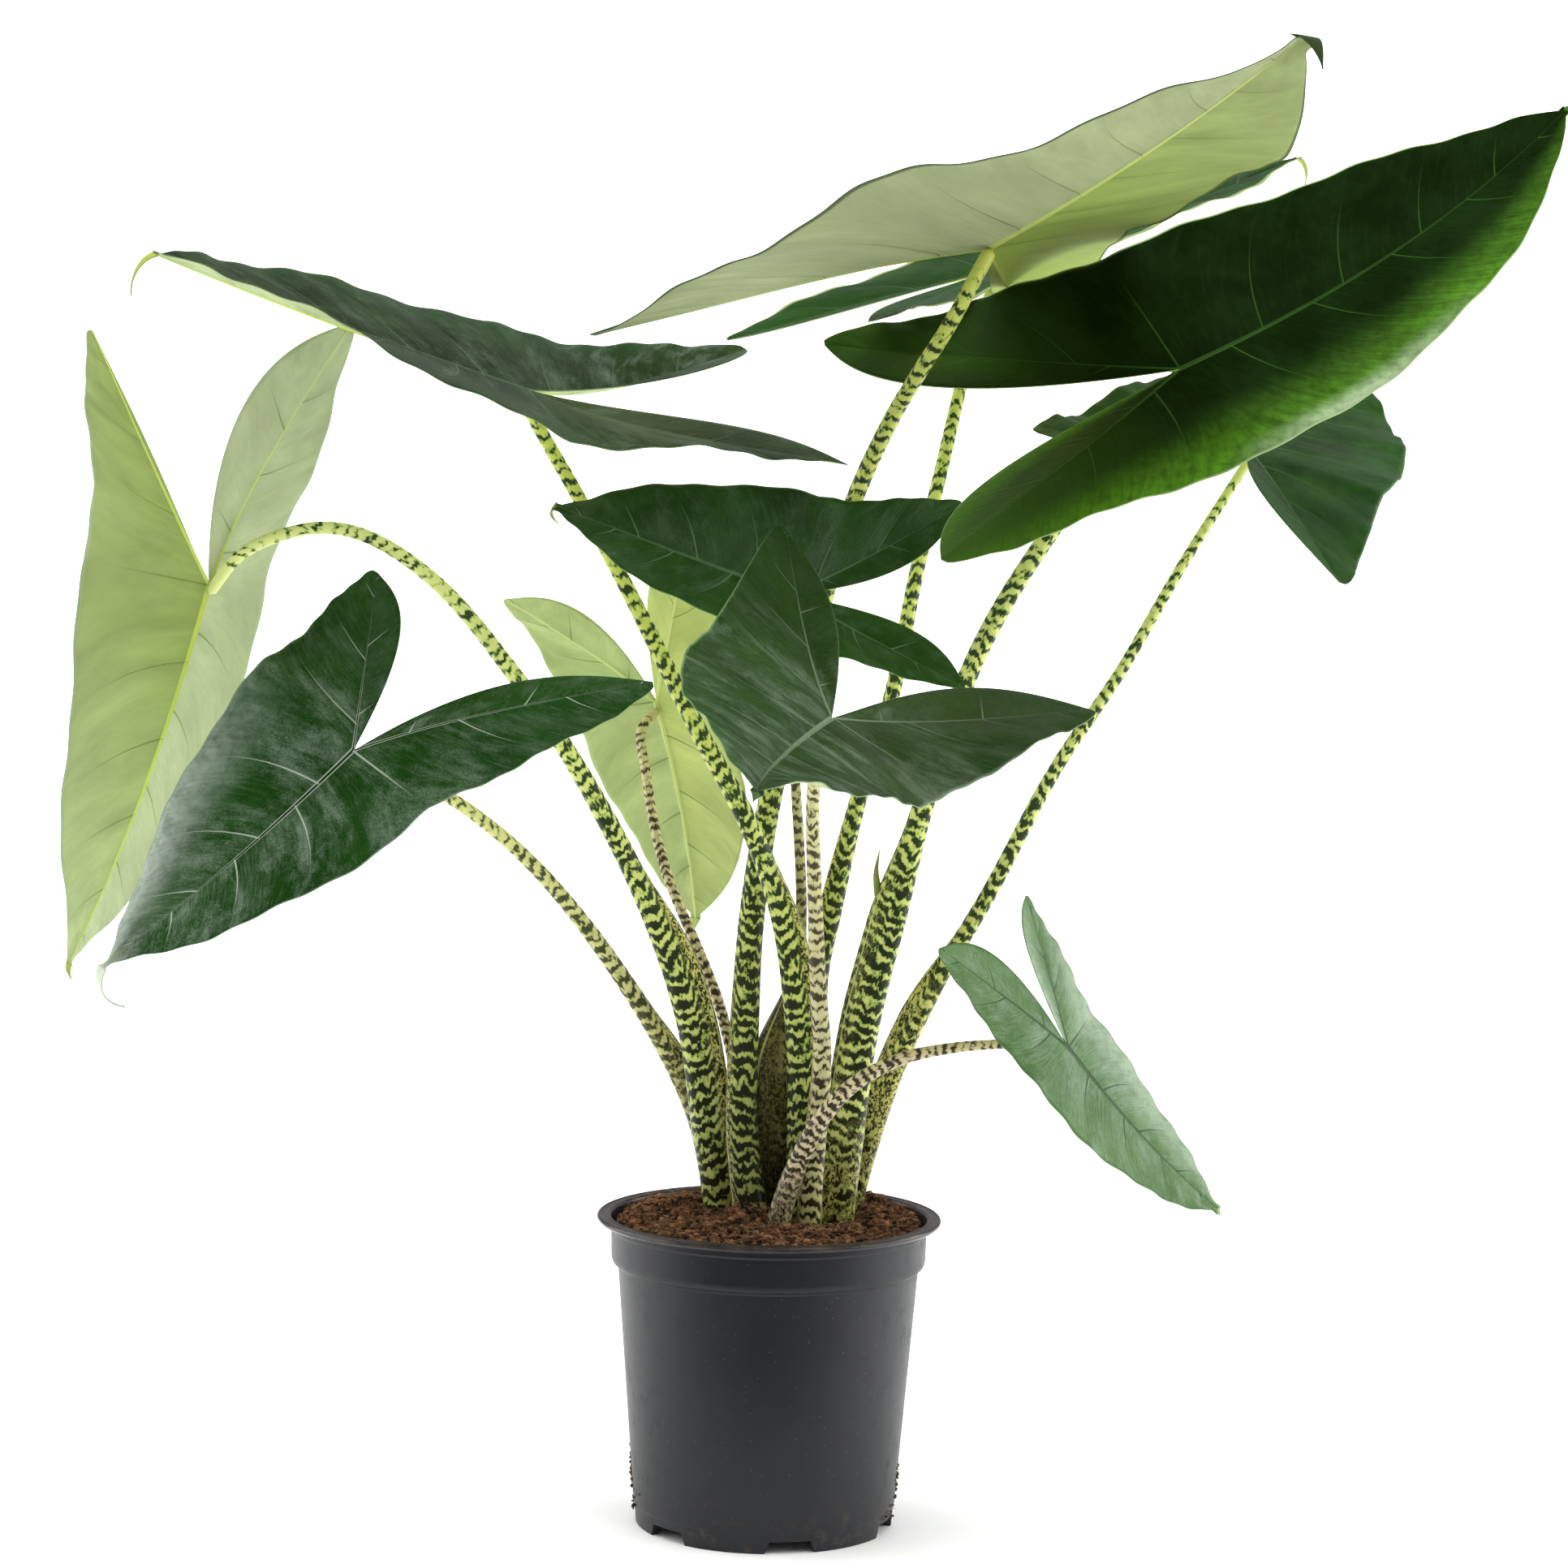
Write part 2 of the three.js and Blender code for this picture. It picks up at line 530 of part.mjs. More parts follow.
// The pot.
const wallAt = (z) =>
  mix(SKIRT_RADIUS, LEDGE_RADIUS, clamp01((z - SKIRT_TOP) / (COLLAR_BOTTOM - SKIRT_TOP)));
const POT_PROFILE = [
  [0, FLOOR_BOTTOM],
  [FLOOR_RADIUS, FLOOR_BOTTOM],
  [FOOT_INNER_RADIUS, 0],
  [FOOT_RADIUS, 0],
  [FOOT_RADIUS + 0.8, SKIRT_TOP - 1.5],
  [SKIRT_RADIUS, SKIRT_TOP],
  [wallAt(80), 80],
  [wallAt(COLLAR_BOTTOM - 4), COLLAR_BOTTOM - 4],
  [COLLAR_RADIUS - 0.8, COLLAR_BOTTOM],
  [COLLAR_RADIUS, COLLAR_BOTTOM + 3],
  [COLLAR_RADIUS + 0.5, LIP_TOP - LIP_DEPTH - 1],
  [LIP_RADIUS - 1.2, LIP_TOP - LIP_DEPTH],
  [LIP_RADIUS, LIP_TOP - LIP_DEPTH / 2],
  [LIP_RADIUS - 1, LIP_TOP],
  [LIP_INNER_RADIUS, LIP_TOP],
  [COLLAR_RADIUS - POT_WALL, LIP_TOP - LIP_DEPTH],
  [COLLAR_RADIUS - POT_WALL, COLLAR_BOTTOM + 3],
  [LEDGE_RADIUS - POT_WALL, COLLAR_BOTTOM - 4],
  [SKIRT_RADIUS - POT_WALL, SKIRT_TOP],
  [SKIRT_RADIUS - POT_WALL - 2, FLOOR_TOP],
  [0, FLOOR_TOP],
];
function slotCutter(angle) {
  const shape = new THREE.Shape();
  shape.moveTo(-SLOT_WIDTH / 2, -1);
  shape.lineTo(SLOT_WIDTH / 2, -1);
  shape.lineTo(SLOT_WIDTH / 2 - SLOT_BEVEL, SLOT_HEIGHT);
  shape.lineTo(-SLOT_WIDTH / 2, SLOT_HEIGHT);
  shape.closePath();
  const cutter = new THREE.ExtrudeGeometry(shape, { depth: 16, bevelEnabled: false, steps: 1 });
  cutter.rotateX(Math.PI / 2).translate(0, -FOOT_RADIUS + 8, 0);
  return cutter.rotateZ(radians(angle));
}
function drainCutter(angle) {
  const cutter = new THREE.BoxGeometry(DRAIN_HOLE[0], DRAIN_HOLE[1], 10);
  return cutter.translate(0, -DRAIN_RADIUS, (FLOOR_BOTTOM + FLOOR_TOP) / 2).rotateZ(radians(angle));
}
let potSolid = solidOf(turned(POT_PROFILE, POT_SEGMENTS));
for (let i = 0; i < SLOT_COUNT; i++) {
  const angle = SLOT_FIRST_ANGLE + (360 / SLOT_COUNT) * i;
  potSolid = potSolid.subtract(solidOf(slotCutter(angle))).subtract(solidOf(drainCutter(angle)));
}

// The soil, the pot's inside less the clearance, with an uneven top.
const soilWall = (z) =>
  mix(SKIRT_RADIUS, LEDGE_RADIUS, (z - SKIRT_TOP) / (COLLAR_BOTTOM - 4 - SKIRT_TOP)) - POT_WALL - GAP;
const SOIL_PROFILE = [
  [0, FLOOR_TOP + GAP],
  [SKIRT_RADIUS - POT_WALL - 2 - GAP, FLOOR_TOP + GAP],
  [soilWall(SKIRT_TOP) - 0.2, SKIRT_TOP + GAP],
  [soilWall(COLLAR_BOTTOM - 4) - 0.1, COLLAR_BOTTOM - 4],
  [COLLAR_RADIUS - POT_WALL - 0.4, COLLAR_BOTTOM + 3.5],
  [COLLAR_RADIUS - POT_WALL - 0.4, SOIL_EDGE_TOP],
  ...SOIL_HEAP,
  [0, SOIL_MIDDLE_TOP],
];
function soilGeometry() {
  const geometry = turned(SOIL_PROFILE, SOIL_SEGMENTS);
  const position = geometry.attributes.position;
  for (let i = 0; i < position.count; i++) {
    const x = position.getX(i);
    const y = position.getY(i);
    const z = position.getZ(i);
    if (z < SOIL_EDGE_TOP - 1) continue;
    const bump = Math.sin(x * 0.21 + 1) * Math.cos(y * 0.17) + Math.sin(x * 0.09 - y * 0.13);
    position.setZ(i, z + SOIL_ROUGHNESS * bump);
  }
  return geometry;
}
let soilSolid = solidOf(soilGeometry());

// Colours taken from the plant itself.
const POT_LOOK = { color: 0x333437, roughness: 0.42, metalness: 0 };
const SOIL_LOOK = { color: 0x5a3a28, roughness: 0.95, metalness: 0 };
const LEAF_LOOK = { color: 0x2b5a2b, roughness: 0.35, metalness: 0 };
const LEAF_UNDER_LOOK = { color: 0xa8c07a, roughness: 0.5, metalness: 0 };
const STALK_LOOK = { color: 0xb9d13b, roughness: 0.45, metalness: 0 };
const PALE_STALK_LOOK = { color: 0xdcd0a0, roughness: 0.45, metalness: 0 };
const UNDERSIDE_SEEN = ["leaf_1", "leaf_4", "leaf_10"];
const PALE_STALKS = ["petiole_6", "petiole_7", "petiole_10", "petiole_11"];

const plant = new THREE.Group();
function place(name, geometry, look) {
  const mesh = new THREE.Mesh(geometry, new THREE.MeshStandardMaterial(look));
  mesh.name = name;
  plant.add(mesh);
}

for (const [name, leaf] of Object.entries(LEAVES)) {
  const look = UNDERSIDE_SEEN.includes(name) ? LEAF_UNDER_LOOK : LEAF_LOOK;
  place(name, bladeGeometry(leaf, 0), look);
}
for (const [name, stalk] of Object.entries(STALKS)) {
  const leaf = LEAVES[name.replace("petiole", "leaf")];
  const whole = solidOf(stalkGeometry(stalk, leaf, 0));
  const grownBlade = solidOf(bladeGeometry(leaf, GAP));
  place(name, geometryOf(mainBody(whole.subtract(grownBlade))),
    PALE_STALKS.includes(name) ? PALE_STALK_LOOK : STALK_LOOK);
  soilSolid = soilSolid.subtract(solidOf(stalkGeometry(stalk, leaf, GAP)));
}
place("soil", geometryOf(mainBody(soilSolid)), SOIL_LOOK);
place("pot", geometryOf(potSolid), POT_LOOK);

// The origin goes to the floor under the middle of the plant's width and depth.
const middle = new THREE.Box3().setFromObject(plant).getCenter(new THREE.Vector3());
for (const mesh of plant.children) mesh.position.set(-middle.x, -middle.y, 0);

export default plant;
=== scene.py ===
import math
import random

import bpy
import numpy as np
from mathutils import Matrix, Vector, noise
from mathutils.bvhtree import BVHTree


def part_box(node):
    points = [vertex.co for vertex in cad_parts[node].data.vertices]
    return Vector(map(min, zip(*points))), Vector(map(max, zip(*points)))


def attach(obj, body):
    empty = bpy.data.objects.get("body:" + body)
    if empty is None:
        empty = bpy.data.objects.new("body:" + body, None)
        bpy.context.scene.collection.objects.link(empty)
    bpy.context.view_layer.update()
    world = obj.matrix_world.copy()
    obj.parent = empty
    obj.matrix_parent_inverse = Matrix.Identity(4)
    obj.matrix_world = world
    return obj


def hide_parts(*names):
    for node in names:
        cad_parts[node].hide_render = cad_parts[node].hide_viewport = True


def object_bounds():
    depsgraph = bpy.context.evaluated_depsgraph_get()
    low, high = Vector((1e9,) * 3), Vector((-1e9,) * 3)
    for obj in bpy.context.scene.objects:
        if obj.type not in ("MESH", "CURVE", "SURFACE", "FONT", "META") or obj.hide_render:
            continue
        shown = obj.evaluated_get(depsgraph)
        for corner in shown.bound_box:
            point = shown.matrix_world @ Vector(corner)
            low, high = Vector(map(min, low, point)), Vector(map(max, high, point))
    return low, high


# A potted Alocasia zebrina: eleven arrow-shaped leaves on banded stalks, peat soil, a nursery pot.
# Metres, +Z up, -Y is the front. Lists of sizes are in millimetres from the pot's axis on the
# floor.
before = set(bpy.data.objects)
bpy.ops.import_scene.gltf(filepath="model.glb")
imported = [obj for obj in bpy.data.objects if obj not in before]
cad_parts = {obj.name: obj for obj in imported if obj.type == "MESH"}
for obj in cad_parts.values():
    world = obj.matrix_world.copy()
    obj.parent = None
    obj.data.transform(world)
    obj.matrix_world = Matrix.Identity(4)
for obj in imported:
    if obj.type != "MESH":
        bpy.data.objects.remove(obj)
cad_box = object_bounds()

# Leaf blades
#
# Each is one living sheet with a thick midrib, two lobe ribs and four or five side veins in each
# half. The upper face has a waxy dark green skin, the lower face is matt and pale, and the margin
# is a thin pale hem. The blades keep the outline and the bends of the solids, with finer waves and
# raised ribs.
MM = 0.001
pot_low, pot_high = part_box("pot")
POT_AXIS = np.array([(pot_low.x + pot_high.x) / 2, (pot_low.y + pot_high.y) / 2, 0.0])
BLADE_HALF_THICKNESS = 0.42
MARGIN_HALF_THICKNESS = 0.22
FRONT_ROWS = 66
LOBE_ROWS = 52
COLUMNS = 22
INNER_COLUMNS = 10
TAIL_ROWS = 14
TAIL_HALF_WIDTH = 1.3
TAIL_END_SHARE = 0.25
CURL = -8
CURL_TIP_SHARE = 0.5
FRONT_HEADING = [88, 54]
LOBE_HEADING = [88, 108]
SINUS_HEADING = [62, 50]
ARCH_POWER = 1.5
FOLD_POWER = 1.3
DROP_POWER = 2.2
LOBE_FOLD_REACH = 0.6
WAVE_FADE = [0.1, 0.88]
RIPPLE_HEIGHT = 0.7
RIPPLE_RATE = 3.3
QUILT_HEIGHT = 1.3
VEIN_LEAN = [0.1, 0.2]
VEIN_FAN = 3.0
VEIN_OFFSET = 0.4
LOBE_VEIN_SHARE = 0.7
TIP_HALF_WIDTH = 4.2
TIP_TAPER_POWER = 1.15
MIDRIB_HEIGHT = 2.2
LOBE_RIB_HEIGHT = 1.5
MIDRIB_HALF_WIDTH = 2.4
LOBE_RIB_HALF_WIDTH = 1.7

# at: the junction with the stalk. azimuth, pitch, roll: how the front points and leans, in degrees.
# length: junction to tip. arch, bend: how the midrib curves down and sideways. A pair is [left,
# right]. lobe, half, inner: lobe length, half width, width inside the lobe rib. spread, drop: of
# the lobe rib. fold, foldTip, foldLobe, foldInner: rise of each half at junction, tip, lobe and
# sinus. wave: height and number of the margin's waves. tail: length of the drip tip and its hook.
LEAVES = {
    "leaf_1": dict(
        at=[118, -29, 776], azimuth=-61, pitch=14, roll=5, length=326, arch=-7, bend=-2,
        lobe=[237, 248], half=[103, 111], inner=[16, 66], spread=[41, 45], drop=[4, 9],
        fold=[19, 9], foldTip=[-24, -20], foldLobe=[28, 2], foldInner=[6, 15],
        wave=[5, 3.2], tail=[32, 90], blunt=9.5),
    "leaf_2": dict(
        at=[235, -22, 707], azimuth=14, pitch=25, roll=-35, length=289, arch=-22, bend=7,
        lobe=[221, 213], half=[98, 98], inner=[63, 52], spread=[41, 21], drop=[-4, -5],
        fold=[19, 4], foldTip=[12, 1], foldLobe=[9, 6], foldInner=[17, -16],
        wave=[2, 4.4], tail=[8, 20]),
    "leaf_3": dict(
        at=[-155, 0, 688], azimuth=-148, pitch=15, roll=20, length=252, arch=-4, bend=4,
        lobe=[199, 214], half=[83, 86], inner=[46, 51], spread=[25, 28], drop=[-15, -21],
        fold=[1, 14], foldTip=[26, 8], foldLobe=[10, 7], foldInner=[8, 28],
        wave=[2, 4.1], tail=[32, 120]),
    "leaf_4": dict(
        at=[-341, -30, 568], azimuth=-179, pitch=-75, roll=-38, length=241, arch=-7, bend=8,
        lobe=[198, 179], half=[83, 76], inner=[4, 50], spread=[50, 5], drop=[4, 19],
        fold=[18, 21], foldTip=[-11, 11], foldLobe=[12, 13], foldInner=[7, -3],
        wave=[3, 3.3], tail=[12, 70]),
    "leaf_5": dict(
        at=[-245, -110, 476], azimuth=-151, pitch=-42, roll=29, length=188, arch=-6, bend=-5,
        lobe=[178, 136], half=[68, 79], inner=[26, 26], spread=[34, 41], drop=[14, 0],
        fold=[-2, 25], foldTip=[14, -28], foldLobe=[-13, 14], foldInner=[-5, 8],
        wave=[2, 4.2], tail=[44, 130]),
    "leaf_6": dict(
        at=[6, -20, 569], azimuth=-174, pitch=18, roll=51, length=149, arch=5, bend=-7,
        lobe=[119, 128], half=[47, 64], inner=[26, 21], spread=[16, 47], drop=[-7, -14],
        fold=[14, 25], foldTip=[5, -14], foldLobe=[21, 20], foldInner=[0, 7],
        wave=[2, 3.4], tail=[18, 150]),
    "leaf_7": dict(
        at=[30, -176, 504], azimuth=-109, pitch=-9, roll=28, length=243, arch=-18, bend=14,
        lobe=[201, 196], half=[79, 86], inner=[42, 25], spread=[32, 34], drop=[-11, -14],
        fold=[0, 11], foldTip=[38, 28], foldLobe=[9, 6], foldInner=[0, 12],
        wave=[2, 4.3], tail=[8, 60]),
    "leaf_8": dict(
        at=[130, 152, 773], azimuth=27, pitch=18, roll=-3, length=246, arch=-5, bend=0,
        lobe=[176, 178], half=[83, 81], inner=[51, 24], spread=[34, 34], drop=[3, -5],
        fold=[11, 9], foldTip=[8, 7], foldLobe=[13, 4], foldInner=[4, 6],
        wave=[2, 3.6], tail=[22, 130]),
    "leaf_9": dict(
        at=[292, 90, 660], azimuth=65, pitch=9, roll=-25, length=252, arch=-6, bend=6,
        lobe=[179, 185], half=[85, 88], inner=[50, 48], spread=[29, 38], drop=[2, 3],
        fold=[11, 12], foldTip=[8, -2], foldLobe=[2, 4], foldInner=[6, 19],
        wave=[3, 4.5], tail=[18, 90]),
    "leaf_10": dict(
        at=[-79, 150, 494], azimuth=56, pitch=-63, roll=10, length=164, arch=0, bend=12,
        lobe=[117, 134], half=[58, 62], inner=[29, 27], spread=[41, 26], drop=[12, 4],
        fold=[-4, -16], foldTip=[3, 19], foldLobe=[10, 10], foldInner=[-2, 17],
        wave=[2, 3.5], tail=[10, 40]),
    "leaf_11": dict(
        at=[174, -80, 307], azimuth=11, pitch=-51, roll=-45, length=135, arch=-9, bend=7,
        lobe=[98, 105], half=[43, 48], inner=[24, 27], spread=[39, 17], drop=[3, 5],
        fold=[1, 6], foldTip=[3, -2], foldLobe=[3, 2], foldInner=[12, 1],
        wave=[1, 3.4], tail=[6, 40]),
}

# Looks of each blade. upper, patch, lobe_end: the skin, its lighter clouds and the lobes' ends.
# vein: the side veins from above. bloom_and_sheen, lobe_wax_and_sheen: how much pale wax and
# painted sheen lies on it, and its share on the lobes. shine, gloss: roughness and strength of its
# highlights. groove: 1 where the midrib is sunk, with painted shade in it. veins: side veins in
# each half. glow: painted light through the margin of one half, which on the fifth and eleventh
# leaves is a painted sheen, as side, colour, reach inwards, strength, and the middle and half
# length of the stretch, where 1 is the tip and -1 the lobe's end. rays: how uneven it is. gleam:
# middle, half length and strength of its whitest part, a painted highlight. hem, hem_reach: the
# turned-up margin and where it starts; on the second leaf its pale colour is partly a painted
# highlight. under, under_lit_through: the lower face, and its other half in the painted light
# that shines through it. tone: painted shade, how light it is at the lobes and at the tip. ribs:
# its ribs. tip, tip_reach: the drip tip and where its colour starts; on the fifth leaf the pale
# tip is a painted sheen.
PLAIN_BLADE = dict(
    bloom_and_sheen=0.0, lobe_wax_and_sheen=1.0, shine=0.42, gloss=0.22, groove=0.0, veins=5, rays=0.2, hem_reach=0.982,
    under="#a9b888", under_lit_through=["right", "#a9b888"], tone=[1.0, 1.0], ribs="#b4cb52",
    tip_reach=0.985)
LOOKS = {
    "leaf_1": dict(
        PLAIN_BLADE, upper="#1a3a10", patch="#28501c", lobe_end="#28501c", vein="#5a8a48",
        glow=["left", "#a9c163", 0.6, 0.5, 0.3, 0.8], hem="#22380f", under="#a3ae82",
        under_lit_through=["left", "#93aa48"], tone=[1.32, 0.76], ribs="#b7c66c", tip="#2c3a18"),
    "leaf_2": dict(
        PLAIN_BLADE, upper="#091a01", patch="#132806", lobe_end="#3f6120", vein="#35591f",
        shine=0.36, gloss=0.08, glow=["right", "#5f9a20", 0.6, 0.95, 0.05, 1.2], rays=0.5,
        gleam=[0.2, 0.34, 0.65], hem="#a9c486", tip="#3c6a1c"),
    "leaf_3": dict(
        PLAIN_BLADE, upper="#12230a", patch="#26391a", lobe_end="#26391a", vein="#53694c",
        bloom_and_sheen=0.35, lobe_wax_and_sheen=2.0, shine=0.38, groove=0.6,
        glow=["right", "#2c5a30", 0.5, 0.3, 0.0, 1.0], hem="#6f8a58", tip="#a3b04c"),
    "leaf_4": dict(
        PLAIN_BLADE, upper="#1f4018", patch="#2a5222", lobe_end="#2a5222", vein="#5f8a4c",
        glow=["left", "#a9bd78", 0.8, 0.4, 0.0, 1.0], hem="#9fb48a", under="#a9b58c",
        under_lit_through=["left", "#8da052"], tone=[0.88, 1.04], ribs="#b7c95c", tip="#a3b35c"),
    "leaf_5": dict(
        PLAIN_BLADE, upper="#0f3404", patch="#1b430f", lobe_end="#1b430f", vein="#b7c4b0",
        bloom_and_sheen=1.05, lobe_wax_and_sheen=0.3, shine=0.34, groove=1.0, veins=4,
        glow=["right", "#b4c1b4", 0.6, 0.9, 0.8, 0.95], hem="#7d9878", tip="#c2ccb4",
        tip_reach=0.88),
    "leaf_6": dict(
        PLAIN_BLADE, upper="#163407", patch="#21450f", lobe_end="#21450f", vein="#5f7f58",
        bloom_and_sheen=0.3, shine=0.38, veins=4, glow=["left", "#356a2c", 0.7, 0.2, 0.0, 1.0],
        hem="#5f8048", tip="#93a65c"),
    "leaf_7": dict(
        PLAIN_BLADE, upper="#122c07", patch="#1d3a0f", lobe_end="#1d3a0f", vein="#75896d",
        bloom_and_sheen=0.75, lobe_wax_and_sheen=0.15, shine=0.36, glow=["right", "#35602c", 0.6, 0.5, 0.9, 0.5],
        hem="#6c8a5c", tip="#4a6038"),
    "leaf_8": dict(
        PLAIN_BLADE, upper="#15300a", patch="#204312", lobe_end="#204312", vein="#42603c",
        shine=0.4, glow=["right", "#2f6a2b", 0.6, 0.4, 0.3, 0.8], hem="#a4b578", hem_reach=0.9,
        under="#9db06e", tip="#b3bd5c"),
    "leaf_9": dict(
        PLAIN_BLADE, upper="#132d05", patch="#264a14", lobe_end="#264a14", vein="#4c7042",
        shine=0.4, glow=["right", "#2f6a2f", 0.6, 0.2, 0.0, 1.0], hem="#5f8048", tip="#5a7a3c"),
    "leaf_10": dict(
        PLAIN_BLADE, upper="#204518", patch="#2b5822", lobe_end="#2b5822", vein="#5f8a4c", veins=4,
        glow=["left", "#b9cd84", 0.8, 0.4, 0.0, 1.0], hem="#9fb070", under="#a0b072",
        under_lit_through=["right", "#a7b564"], ribs="#bfca7c", tip="#a9b96c"),
    "leaf_11": dict(
        PLAIN_BLADE, upper="#3d602c", patch="#557544", lobe_end="#557544", vein="#213c1b",
        bloom_and_sheen=1.25, shine=0.38, groove=0.45, veins=4, glow=["left", "#b1c1aa", 1.0, 0.8, 0.15, 1.2],
        hem="#6f8f5c", tip="#86a45c"),
}


def smooth(x, start, end):
    """0 before start, 1 after end, and an even turn between them."""
    t = np.clip((x - start) / (end - start), 0, 1)
    return t * t * (3 - 2 * t)


def rotations(axis, angles):
    """Rotation matrices about one axis, for a list of angles in radians."""
    x, y, z = axis
    cross = np.array([[0, -z, y], [z, 0, -x], [-y, x, 0]])
    sines = np.sin(angles)[:, None, None]
    cosines = np.cos(angles)[:, None, None]
    return np.eye(3) + sines * cross + (1 - cosines) * (cross @ cross)


def blade_axes(leaf):
    """Columns: towards the tip, to the leaf's own left, and out of the upper face."""
    azimuth, pitch, roll = (math.radians(leaf[key]) for key in ("azimuth", "pitch", "roll"))
    forward = np.array([math.cos(pitch) * math.cos(azimuth), math.cos(pitch) * math.sin(azimuth),
                        math.sin(pitch)])
    level = np.array([-math.sin(azimuth), math.cos(azimuth), 0.0])
    above = np.cross(forward, level)
    left = level * math.cos(roll) - above * math.sin(roll)
    up = above * math.cos(roll) + level * math.sin(roll)
    return np.column_stack([forward, left, up])


def rib_line(directions, length):
    """Points along a rib that starts at the junction, from its direction at each even step."""
    steps = (directions[1:] + directions[:-1]) / 2 * (length / (len(directions) - 1))
    return np.vstack([np.zeros(3), np.cumsum(steps, axis=0)])


def rays(starts, turns, heading, side, rise, curl, width, shares, lift):
    """Lines of points from a rib out to the margin, one for each start."""
    flat = np.stack([np.cos(heading), side * np.sin(heading), 0 * heading], axis=1)
    outward = np.einsum("nij,nj->ni", turns, flat)
    up = turns[:, :, 2]
    bend = np.where(np.abs(curl) < 1e-4, 1e-4, curl)[:, None]
    angle = rise[:, None] + bend * shares
    along = (np.sin(angle) - np.sin(rise)[:, None]) / bend
    height = (np.cos(rise)[:, None] - np.cos(angle)) / bend
    along = along * width[:, None]
    height = height * width[:, None] + lift
    return starts[:, None] + along[..., None] * outward[:, None] + height[..., None] * up[:, None]


